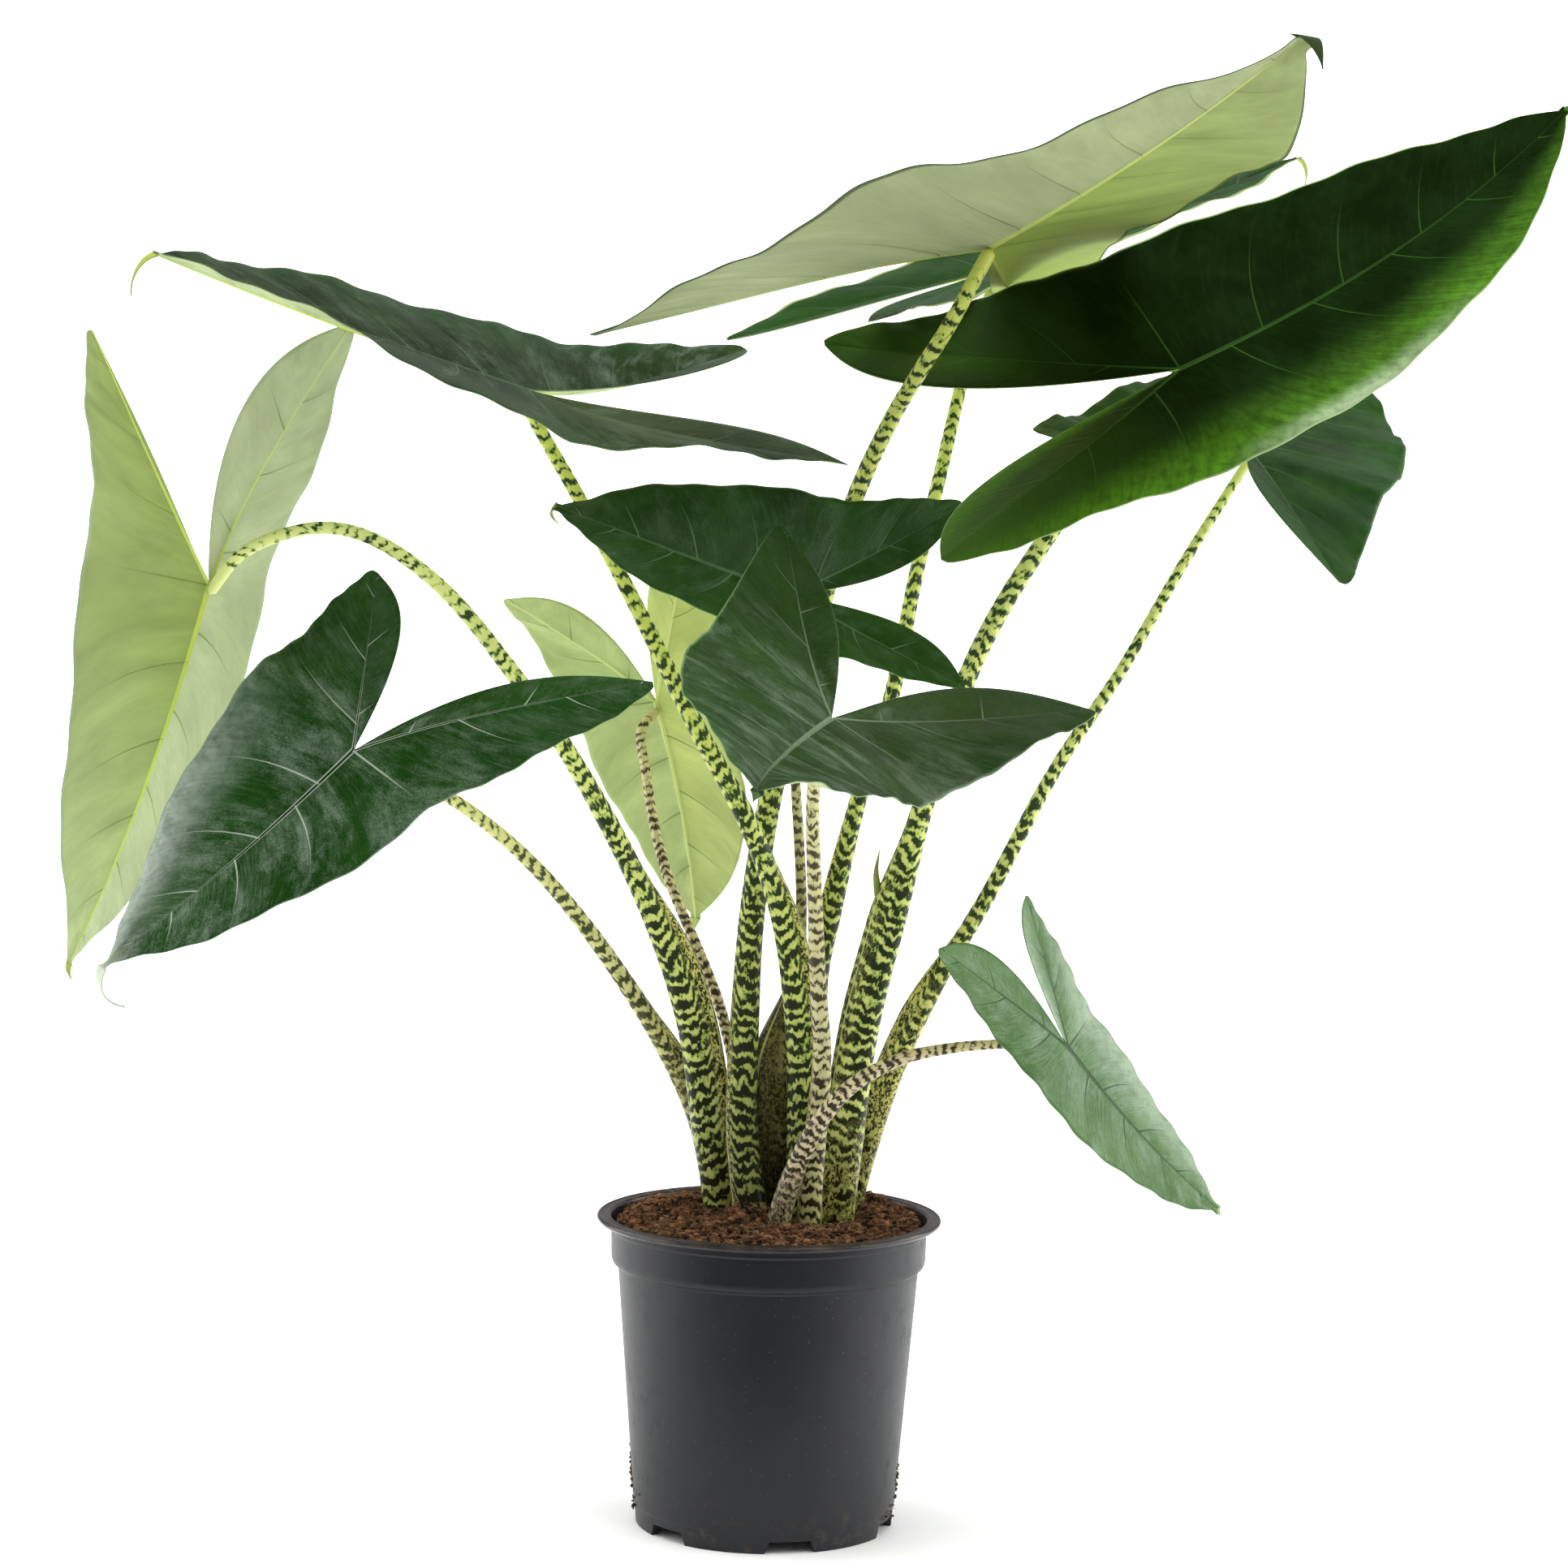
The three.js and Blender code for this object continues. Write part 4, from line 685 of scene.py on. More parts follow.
# Leaf stalks
#
# Each stalk grows from the crown under the soil to the junction of its blade. It is fleshy, round
# above and opens below into a sheath with two thin edges. Irregular dark bands cross its
# yellow-green skin, dense near the soil and fading out near the blade. Four younger stalks are
# cream with brown bands.
STALK_FOOT = 150
STALK_TAPER_POWER = 1.4
SHEATH_FADE = 0.12
RING_SPACING = 3.0
RING_POINTS = 40
JUNCTION_CLEARANCE = 1.6
JUNCTION_SETBACK = 5
CREST_ANGLE = 27
CHANNEL_DEPTH = 0.55
NET_ANGLES = [32, 50]
EDGE_ANGLE = 1.5
RIGHT = [1, 0, 0]
LEFT = [-1, 0, 0]
FRONT = [0, -1, 0]
BACK_RIGHT = [1, 0.25, 0.2]
STALKS = {
    "petiole_1": dict(radius=[10.5, 4.4], sheath=[2, 0.3, LEFT], path=[
        [-11, -8, 189], [-17, -4, 243], [-17, 2, 304], [-14, 12, 372], [-4, 24, 444],
        [19, 26, 539], [41, 25, 619], [62, -4, 670], [80, -36, 703], [97, -40, 731]]),
    "petiole_2": dict(radius=[9.5, 4.8], sheath=[14, 0.48, LEFT], net=0.25, path=[
        [43, 10, 186], [48, 6, 234], [57, -2, 307], [73, -12, 377], [89, -16, 447],
        [120, -22, 539], [160, -34, 610], [197, -42, 660], [218, -22, 686]]),
    "petiole_3": dict(radius=[9.5, 4], sheath=[9, 0.46, RIGHT], path=[
        [18, -6, 189], [18, -6, 244], [15, -6, 305], [4, -8, 374], [-17, -10, 430],
        [-48, -8, 485], [-94, 0, 572], [-125, 6, 627], [-147, 8, 664]]),
    "petiole_4": dict(radius=[10, 3.4], sheath=[14, 0.42, BACK_RIGHT], path=[
        [-31, 12, 193], [-40, 10, 241], [-51, 6, 306], [-76, 0, 376], [-117, -8, 455],
        [-156, -16, 513], [-205, -24, 571], [-248, -30, 599], [-279, -34, 603],
        [-319, -38, 588]]),
    "petiole_5": dict(radius=[8, 3.4], sheath=[6, 0.4, RIGHT], path=[
        [-34, 34, 191], [-45, 28, 243], [-66, 20, 289], [-96, 6, 338], [-125, -12, 379],
        [-153, -34, 412], [-187, -66, 443], [-216, -92, 461]]),
    "petiole_6": dict(radius=[4.5, 2.8], sheath=[42, 0.47, LEFT], fade=0.19, path=[
        [12, 16, 194], [14, 14, 285], [16, 14, 379], [11, 14, 454], [7, 10, 509]]),
    "petiole_7": dict(radius=[7.5, 3.4], sheath=[1.5, 0.4, LEFT], path=[
        [24, -28, 190], [27, -34, 239], [30, -44, 291], [27, -56, 332], [24, -74, 382],
        [21, -116, 461]]),
    "petiole_8": dict(radius=[7.5, 3.8], sheath=[5, 0.45, LEFT], path=[
        [26, 28, 198], [27, 32, 269], [28, 36, 334], [35, 40, 370], [50, 46, 441],
        [68, 52, 499], [84, 62, 584], [98, 78, 645], [111, 104, 701], [124, 134, 742]]),
    "petiole_9": dict(radius=[7.5, 3], sheath=[9, 0.4, LEFT], path=[
        [51, 36, 191], [74, 32, 271], [98, 30, 326], [132, 38, 386], [171, 50, 461],
        [211, 62, 522], [251, 76, 592]]),
    "petiole_10": dict(radius=[4.2, 3], sheath=[1, 0.3, RIGHT], path=[
        [-9, 40, 195], [-32, 62, 304], [-64, 86, 377], [-69, 92, 389], [-78, 106, 419],
        [-84, 120, 450], [-88, 134, 476]]),
    "petiole_11": dict(radius=[8.5, 2.3], sheath=[1.5, 0.25, FRONT], path=[
        [6, -34, 192], [13, -44, 220], [29, -58, 257], [48, -64, 280], [76, -70, 297],
        [102, -73, 304], [123, -75, 307], [139, -77, 308]]),
}

# skin: colour at the foot, half way and at the top. band, halo: the band and its soft edge. period:
# mm from band to band. cover: how wide the bands are at the foot. dense, fade: where on the stalk
# they start to thin and where they are gone. breaks: how often a band breaks off. sheath: between
# the net. netting: how much of the net covers the foot all round, and the share of the stalk where
# it ends. shade: how dark the painted shade of the clump is at the foot. bow: how far the bands run
# up the flank of the sheath.
GREEN_STALK = dict(skin=["#bfc272", "#c7cd74", "#c6d066"], band=["#24230f", "#2d3c22"],
                   halo="#8ba24a",
                   period=8.2, cover=0.3, dense=0.3, fade=1.2, breaks=5.5, sheath="#c2bd68",
                   netting=[0.0, 0.3], shade=0.7, bow=-3.5)
DEEP_STALK = dict(GREEN_STALK, shade=0.6)
ARCHED_STALK = dict(GREEN_STALK, skin=["#c2c476", "#c9cf77", "#d3dd8c"], shade=0.85, fade=0.92)
FRONT_STALK = dict(GREEN_STALK, skin=["#cccd7c", "#c9cf77", "#c9d279"], netting=[0.9, 0.17],
                   shade=1.0, bow=-1.0)
SPECKLED_STALK = dict(GREEN_STALK, skin=["#c9c672", "#c9cb7c", "#c8cf80"], netting=[0.9, 0.42],
                      shade=0.95)
THIN_STALK = dict(GREEN_STALK, skin=["#b9b26f", "#c6c285", "#c4c87c"], band=["#302c16", "#3e4428"],
                  halo="#9a9f58", netting=[0.5, 0.42])
CREAM_STALK = dict(skin=["#c6c380", "#bdb98a", "#bcbc80"], band=["#26220f", "#453f2c"],
                   halo="#9c9568",
                   period=7.2, cover=-0.05, dense=0.1, fade=1.8, breaks=5.0, sheath="#a59c66",
                   netting=[0.0, 0.3], shade=0.85, bow=-3.5)
# The hidden stalk stands inside the clump; its darker foot, middle and sheath are painted shade.
HIDDEN_STALK = dict(CREAM_STALK, skin=["#7d7b45", "#9b9860", "#bcbc80"], sheath="#6d6a34",
                    netting=[1.0, 0.6], shade=0.5, bow=-0.5)
TAN_STALK = dict(skin=["#bdb18e", "#c6b894", "#c2bb88"], band=["#241d11", "#3c3428"],
                 halo="#8d7e5e",
                 period=5.6, cover=0.0, dense=0.1, fade=1.8, breaks=6.0, sheath="#b0a67f",
                 netting=[0.85, 0.34], shade=0.8, bow=-3.5)
STALK_LOOKS = {"petiole_1": DEEP_STALK, "petiole_2": FRONT_STALK, "petiole_4": ARCHED_STALK,
               "petiole_5": THIN_STALK, "petiole_6": HIDDEN_STALK, "petiole_7": CREAM_STALK,
               "petiole_9": SPECKLED_STALK, "petiole_10": TAN_STALK, "petiole_11": TAN_STALK}


def stalk_line(stops, count):
    """Evenly spaced points on the centripetal Catmull-Rom curve through the stops."""
    stops = [np.array(p, float) for p in stops]
    whole = [2 * stops[0] - stops[1]] + stops + [2 * stops[-1] - stops[-2]]
    t = np.linspace(0, 1, 40, endpoint=False)[:, None]
    parts = []
    for p0, p1, p2, p3 in zip(whole, whole[1:], whole[2:], whole[3:]):
        d0, d1, d2 = (np.linalg.norm(b - a) ** 0.5 for a, b in ((p0, p1), (p1, p2), (p2, p3)))
        m1 = ((p1 - p0) / d0 - (p2 - p0) / (d0 + d1) + (p2 - p1) / d1) * d1
        m2 = ((p2 - p1) / d1 - (p3 - p1) / (d1 + d2) + (p3 - p2) / d2) * d1
        c2 = -3 * p1 + 3 * p2 - 2 * m1 - m2
        c3 = 2 * p1 - 2 * p2 + m1 + m2
        parts.append(p1 + m1 * t + c2 * t ** 2 + c3 * t ** 3)
    line = np.concatenate(parts + [stops[-1][None]])
    run = np.concatenate([[0], np.cumsum(np.linalg.norm(np.diff(line, axis=0), axis=1))])
    wanted = np.linspace(0, run[-1], count)
    return np.stack([np.interp(wanted, run, line[:, k]) for k in range(3)], axis=1), run[-1]


def stalk_mesh(stalk, leaf):
    """Points in mm, faces, the point that each would have on the straightened stalk, and its zone."""
    axes = blade_axes(leaf)
    end = np.array(leaf["at"], float) + axes @ [JUNCTION_SETBACK, 0, -JUNCTION_CLEARANCE]
    first, second = (np.array(p, float) for p in stalk["path"][:2])
    slope = (STALK_FOOT - first[2]) / (second[2] - first[2]) * 0.5
    foot = first + (second - first) * slope
    foot[2] = STALK_FOOT
    _, length = stalk_line([foot, *stalk["path"], end], 10)
    count = int(length / RING_SPACING) + 1
    line, length = stalk_line([foot, *stalk["path"], end], count)
    s = np.linspace(0, 1, count)
    tangent = np.gradient(line, axis=0)
    tangent[0] = [0, 0, 1]
    tangent /= np.linalg.norm(tangent, axis=1)[:, None]
    wing, share, side = stalk["sheath"]
    side = np.array(side, float)
    aside = side - (tangent @ side)[:, None] * tangent
    aside /= np.linalg.norm(aside, axis=1)[:, None]
    across = np.cross(tangent, aside)
    foot_radius, top_radius = stalk["radius"]
    radius = top_radius + (foot_radius - top_radius) * (1 - s) ** STALK_TAPER_POWER
    from_end = (1 - s) * length
    dome = np.sqrt(np.clip(1 - (1 - np.clip(from_end / radius, 0, 1)) ** 2, 0.02, 1))
    sheath = wing * (1 - smooth(s, share - stalk.get("fade", SHEATH_FADE), share))
    crest = np.radians(CREST_ANGLE)
    rim = np.radians(EDGE_ANGLE)
    angle = np.linspace(-np.pi, np.pi, RING_POINTS, endpoint=False)
    angle = np.sort(np.concatenate([angle, [-crest - rim, -crest + rim, crest - rim, crest + rim]]))
    channel = np.clip(1 - np.abs(angle) / crest, 0, 1)
    fin = np.clip(np.cos(angle), 0, 1) ** (2 + min(wing, 20) / 6) * (1 - CHANNEL_DEPTH * channel)
    reach = (radius * dome)[:, None] + sheath[:, None] * fin
    points = (line[:, None] + (reach * np.cos(angle))[..., None] * aside[:, None]
              - (reach * np.sin(angle))[..., None] * across[:, None])
    straight = np.stack([reach * np.cos(angle), reach * np.sin(angle),
                         np.broadcast_to((s * length)[:, None], reach.shape)], axis=-1)
    shown = np.clip(sheath / 2.0, 0, 1)[:, None]
    near, far = np.radians(NET_ANGLES)
    inside = stalk.get("net", 1.0) * shown * (1 - smooth(np.abs(angle), near, far))
    edge = shown * np.clip(1 - np.abs(np.abs(angle) - crest) / rim, 0, 1)
    zone = np.stack([np.broadcast_to(s[:, None], reach.shape), inside, edge], axis=-1)
    ids = np.arange(count * len(angle)).reshape(count, len(angle))
    turned = np.roll(ids, -1, axis=1)
    faces = np.stack([ids[:-1], ids[1:], turned[1:], turned[:-1]], axis=-1).reshape(-1, 4).tolist()
    faces.append(ids[0].tolist())
    faces.append(ids[-1][::-1].tolist())
    return points.reshape(-1, 3), faces, straight.reshape(-1, 3), zone.reshape(-1, 3)


def banded_stalk_skin(name, look):
    """Smooth living stalk: satin skin, so the bands read clearly under a narrow long highlight."""
    material, tree, shader = surface(name + "_banded_stalk_skin", Roughness=0.36, IOR=1.42,
                                     Specular_IOR_Level=0.3)
    straight = add(tree, "Attribute", out="Vector", attribute_name="straight")
    zone = add(tree, "Attribute", out="Vector", attribute_name="zone")
    share, inside, edge = add(tree, "SeparateXYZ", zone, out=None)
    aside, _, along = add(tree, "SeparateXYZ", straight, out=None)
    # On the flank of the sheath the bands run up towards its edge.
    phase = add(tree, "Math", along, 1.0 / look["period"], operation="MULTIPLY")
    bow = add(tree, "MapRange", aside, 4.0, 20.0, 0.0, look["bow"])
    phase = add(tree, "Math", phase, bow, operation="ADD")
    # Each grain is (round the stalk, along it) in mm. The grains are long along the stalk, so that
    # the bands wander and have teeth but hardly ever close into rings.
    for round_size, long_size, strength in ((15.0, 50.0, 2.4), (4.5, 12.0, 1.3), (1.3, 4.0, 0.5)):
        size = (1 / round_size, 1 / round_size, 1 / long_size)
        grain = add(tree, "Mapping", straight, Scale=size)
        drift = add(tree, "TexNoise", grain, Scale=1.0, Detail=1.0)
        phase = add(tree, "Math", drift, strength, phase, operation="MULTIPLY_ADD")
    turns = add(tree, "Math", phase, 2 * math.pi, operation="MULTIPLY")
    height = add(tree, "Math", turns, operation="SINE")
    # Patches where bands break off or run together, and a fine grain that frays their edges.
    for size, detail, rough, strength in (((0.16, 0.16, 0.19), 3.0, 0.55, look["breaks"]),
                                          ((0.7, 0.7, 0.4), 2.0, 0.6, 3.0)):
        grain = add(tree, "Mapping", straight, Scale=size)
        grain = add(tree, "TexNoise", grain, Scale=1.0, Detail=detail, Roughness=rough)
        height = add(tree, "Math", grain, strength, height, operation="MULTIPLY_ADD")
    # The bands thin out up the stalk, and the last stretch below the blade has none.
    middle = 0.5 * look["breaks"] + 1.5
    level = add(tree, "MapRange", share, look["dense"], look["fade"], middle - look["cover"],
                middle + 1.15)
    bare = add(tree, "MapRange", share, 0.955, 1.0, 0.0, 3.0)
    for less in (level, bare):
        height = add(tree, "Math", height, less, operation="SUBTRACT")
    halo, band = (add(tree, "MapRange", height, low, high, interpolation_type="SMOOTHSTEP")
                  for low, high in ((-1.0, 0.05), (-0.1, 0.3)))
    ramp = add(tree, "ValToRGB", share)
    low, high = ramp.node.color_ramp.elements
    low.position, high.position = 0.08, 0.95
    low.color, middle, high.color = (linear(tint) for tint in look["skin"])
    ramp.node.color_ramp.elements.new(0.4).color = middle
    # The sheath has a net of fine dark marks, with meshes about 3 mm wide, which lies in patches.
    ink = add(tree, "MapRange", share, 0.1, 0.6)
    low, high = look["band"]
    ink = add(tree, "Mix", {0: ink, 6: linear(low), 7: linear(high)}, out=2, data_type="RGBA")
    grain = add(tree, "Mapping", straight, Scale=(0.5, 0.5, 0.3))
    net = add(tree, "TexNoise", grain, Scale=1.0, Detail=1.0, Distortion=1.4)
    dark = add(tree, "MapRange", net, 0.46, 0.52)
    netted = add(tree, "Mix", {0: dark, 6: linear(look["sheath"]), 7: ink}, out=2,
                 data_type="RGBA")
    cover, last = look["netting"]
    spread = add(tree, "MapRange", share, last * 0.6, last, cover, 0.0)
    patches = add(tree, "Mapping", straight, Scale=(0.09, 0.09, 0.05))
    patches = add(tree, "TexNoise", patches, Scale=1.0, Detail=2.0)
    patches = add(tree, "MapRange", patches, 0.4, 0.55)
    spread = add(tree, "Math", spread, patches, operation="MULTIPLY")
    inside = add(tree, "Math", inside, spread, operation="MAXIMUM")
    colour = ramp
    for amount, tint in ((halo, linear(look["halo"])), (band, ink), (inside, netted)):
        colour = add(tree, "Mix", {0: amount, 6: colour, 7: tint}, out=2, data_type="RGBA")
    # The foot is darker with painted shade from the clump, and a pale line follows the edge of
    # the sheath.
    foot_shade = add(tree, "MapRange", share, 0.1, 0.32, look["shade"], 1.0,
                interpolation_type="SMOOTHSTEP")
    colour = add(tree, "HueSaturation", Value=foot_shade, Color=colour)
    line = add(tree, "Math", edge, 0.75, operation="MULTIPLY")
    colour = add(tree, "Mix", {0: line, 6: colour, 7: linear("#cfd58c")}, out=2, data_type="RGBA")
    fine = add(tree, "Mapping", straight, Scale=(2.2, 2.2, 0.12))
    fibres = add(tree, "TexNoise", fine, Scale=1.0, Detail=2.0)
    bump = add(tree, "Bump", Height=fibres, Strength=0.25, Distance=0.0004)
    tree.links.new(colour, shader.inputs["Base Color"])
    tree.links.new(bump, shader.inputs["Normal"])
    return material


JOINT_REACH = 0.03
JOINT_DEPTH = 0.0006
stalk_feet = []
for name, stalk in STALKS.items():
    leaf_name = name.replace("petiole", "leaf")
    points, faces, straight, zone = stalk_mesh(stalk, LEAVES[leaf_name])
    points = points * MM + POT_AXIS
    junction = Vector(np.array(LEAVES[leaf_name]["at"]) * MM + POT_AXIS)
    # Near the blade the stalk's skin runs into the underside, so nothing of it shows above.
    for index, point in enumerate(points):
        point = Vector(point)
        if (point - junction).length > JOINT_REACH:
            continue
        spot, normal, _, distance = blade_trees[leaf_name].find_nearest(point)
        if normal is not None and (point - spot).dot(normal) > -JOINT_DEPTH:
            points[index] = spot - normal * JOINT_DEPTH
    look = STALK_LOOKS.get(name, GREEN_STALK)
    made = piece(name + "_stalk", points, faces, [banded_stalk_skin(name, look)])
    for label, values in (("straight", straight), ("zone", zone)):
        kept = made.data.attributes.new(label, "FLOAT_VECTOR", "POINT")
        kept.data.foreach_set("vector", np.ascontiguousarray(values, dtype=np.float32).reshape(-1))
    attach(made, "root")
    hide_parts(name)
    stalk_feet.append((stalk["path"][0][0], stalk["path"][0][1],
                       stalk["radius"][0] + stalk["sheath"][0] * 0.5))

# Sheath needle
#
# The sheath of the second stalk once wrapped the next leaf and ended in a free green point, 24 mm
# long, that now stands beside the stalk. It is the same soft tissue as the sheath, grown in one
# with it.
NEEDLE_FOOT = [66.0, -14, 374]
NEEDLE_HALF_WAY = [60.6, -14, 401]
NEEDLE_POINT = [62.4, -14, 416]
NEEDLE_RADIUS = 4.4
NEEDLE_SIDES = 8
needle_line, _ = stalk_line([NEEDLE_FOOT, NEEDLE_HALF_WAY, NEEDLE_POINT], 12)
points = []
for index, spot in enumerate(needle_line):
    reach = NEEDLE_RADIUS * (1 - index / 11.5)
    points.extend([[spot[0] + reach * math.cos(2 * math.pi * k / NEEDLE_SIDES),
                    spot[1] + reach * math.sin(2 * math.pi * k / NEEDLE_SIDES), spot[2]]
                   for k in range(NEEDLE_SIDES)])
ids = np.arange(len(points)).reshape(-1, NEEDLE_SIDES)
turned = np.roll(ids, -1, axis=1)
faces = np.stack([ids[:-1], turned[:-1], turned[1:], ids[1:]], axis=-1).reshape(-1, 4).tolist()
faces.append(ids[0][::-1].tolist())
faces.append(ids[-1].tolist())
# Dry green sheath tissue: satin, with faint lengthwise fibres.
material, tree, shader = surface("drying_sheath_point", Roughness=0.5, IOR=1.42)
where = add(tree, "TexCoord", out="Object")
grain = add(tree, "Mapping", where, Scale=(1500.0, 1500.0, 120.0))
fibres = add(tree, "TexNoise", grain, Scale=1.0, Detail=2.0)
colour = add(tree, "Mix", {0: fibres, 6: linear("#56652a"), 7: linear("#97a455")}, out=2,
             data_type="RGBA")
tree.links.new(colour, shader.inputs["Base Color"])
needle = piece("petiole_2_needle", np.array(points) * MM + POT_AXIS, faces, [material])
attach(needle, "root")

# Nursery pot
#
# One injection moulding of black polypropylene: a tapered cup with a rolled lip, a collar that it
# stacks by, and a foot ring with six drainage notches and six holes in the floor. The mould left it
# satin.
LIP_RADIUS = 105
LIP_INNER_RADIUS = 98
LIP_TOP = 190
LIP_DEPTH = 4.5
COLLAR_RADIUS = 96
COLLAR_BOTTOM = 161
LEDGE_RADIUS = 92
SKIRT_TOP = 13
SKIRT_RADIUS = 80
FOOT_RADIUS = 78.5
FOOT_INNER_RADIUS = 74.5
FLOOR_RADIUS = 72
POT_WALL = 2.5
FLOOR_BOTTOM = 8
FLOOR_TOP = 10.5
SLOT_COUNT = 6
SLOT_WIDTH = 31
SLOT_HEIGHT = 7.3
SLOT_BEVEL = 2.8
SLOT_FIRST_ANGLE = 12.1
DRAIN_HOLE = [12, 9]
DRAIN_RADIUS = 66
POT_COLUMNS = 240


def rounded(profile, radius, steps=4):
    """The profile with each corner turned into a short arc-like bend of about the given radius."""
    out = [profile[0]]
    for a, b, c in zip(profile, profile[1:], profile[2:]):
        a, b, c = (np.array(p, float) for p in (a, b, c))
        cut = min(radius, np.linalg.norm(a - b) * 0.45, np.linalg.norm(c - b) * 0.45)
        start = b + (a - b) / np.linalg.norm(a - b) * cut
        end = b + (c - b) / np.linalg.norm(c - b) * cut
        for t in np.linspace(0, 1, steps):
            out.append(start * (1 - t) ** 2 + b * 2 * t * (1 - t) + end * t ** 2)
    return np.array(out + [profile[-1]], float)


def wall_radius(z):
    return SKIRT_RADIUS + (LEDGE_RADIUS - SKIRT_RADIUS) * (z - SKIRT_TOP) / (COLLAR_BOTTOM - SKIRT_TOP)


def slot_height(angle):
    """Height of the foot ring's underside at an angle in degrees from the front."""
    pitch = 360 / SLOT_COUNT
    off = (angle - SLOT_FIRST_ANGLE + pitch / 2) % pitch - pitch / 2
    x = abs(FOOT_RADIUS * math.radians(off))
    return float(np.clip(SLOT_HEIGHT * (SLOT_WIDTH / 2 - x) / SLOT_BEVEL, 0, SLOT_HEIGHT))


def pot_mesh():
    """The pot as one turned skin whose lowest ring rises over each notch."""
    wall = [[wall_radius(z), z] for z in (40, 80, 120, COLLAR_BOTTOM - 2.4)]
    profile = [
        [FLOOR_RADIUS - 30, FLOOR_BOTTOM], [FLOOR_RADIUS, FLOOR_BOTTOM], [FOOT_INNER_RADIUS, 0],
        [FOOT_RADIUS, 0], [FOOT_RADIUS + 0.8, SKIRT_TOP - 1.5], [SKIRT_RADIUS, SKIRT_TOP], *wall,
        [COLLAR_RADIUS - 0.8, COLLAR_BOTTOM], [COLLAR_RADIUS, COLLAR_BOTTOM + 3],
        [COLLAR_RADIUS + 0.3, LIP_TOP - LIP_DEPTH - 5], [COLLAR_RADIUS + 1.2, LIP_TOP - LIP_DEPTH - 4],
        [COLLAR_RADIUS + 1.2, LIP_TOP - LIP_DEPTH - 0.6],
        [LIP_RADIUS - 1.6, LIP_TOP - LIP_DEPTH], [LIP_RADIUS, LIP_TOP - LIP_DEPTH / 2 - 0.6],
        [LIP_RADIUS, LIP_TOP - 1.4], [LIP_RADIUS - 1.2, LIP_TOP],
        [LIP_RADIUS - 2.6, LIP_TOP - 0.9], [LIP_INNER_RADIUS + 1.5, LIP_TOP - 0.9],
        [LIP_INNER_RADIUS, LIP_TOP - 0.1], [LIP_INNER_RADIUS - 1.6, LIP_TOP - 1.2],
        [LIP_INNER_RADIUS - 2.6, LIP_TOP - 5], [COLLAR_RADIUS - POT_WALL, LIP_TOP - 9],
        [COLLAR_RADIUS - POT_WALL, COLLAR_BOTTOM + 3], [LEDGE_RADIUS - POT_WALL, COLLAR_BOTTOM - 4],
        [SKIRT_RADIUS - POT_WALL, SKIRT_TOP], [SKIRT_RADIUS - POT_WALL - 2, FLOOR_TOP],
        [FLOOR_RADIUS - 30, FLOOR_TOP],
    ]
    profile = rounded(profile, 0.9)
    angles = list(np.linspace(0, 360, POT_COLUMNS, endpoint=False))
    for k in range(SLOT_COUNT):
        centre = SLOT_FIRST_ANGLE + 360 / SLOT_COUNT * k
        for x in (-SLOT_WIDTH / 2, SLOT_BEVEL - SLOT_WIDTH / 2, SLOT_WIDTH / 2 - SLOT_BEVEL,
                  SLOT_WIDTH / 2):
            angles.append(centre + math.degrees(x / FOOT_RADIUS))
    angles = sorted(a % 360 for a in angles)
    rows = []
    for angle in angles:
        lift = slot_height(angle)
        turn = math.radians(angle - 90)
        heights = np.where(profile[:, 1] < SLOT_HEIGHT, np.maximum(profile[:, 1], lift), profile[:, 1])
        rows.append(np.stack([profile[:, 0] * math.cos(turn), profile[:, 0] * math.sin(turn),
                              heights], axis=1))
    grid = np.array(rows)
    columns, count = grid.shape[:2]
    ids = np.arange(columns * count).reshape(columns, count)
    after = np.roll(ids, -1, axis=0)
    faces = np.stack([ids[:, :-1], after[:, :-1], after[:, 1:], ids[:, 1:]], axis=-1)
    faces = faces.reshape(-1, 4).tolist()
    faces.append(ids[::-1, 0].tolist())
    faces.append(ids[:, -1].tolist())
    return grid.reshape(-1, 3), faces


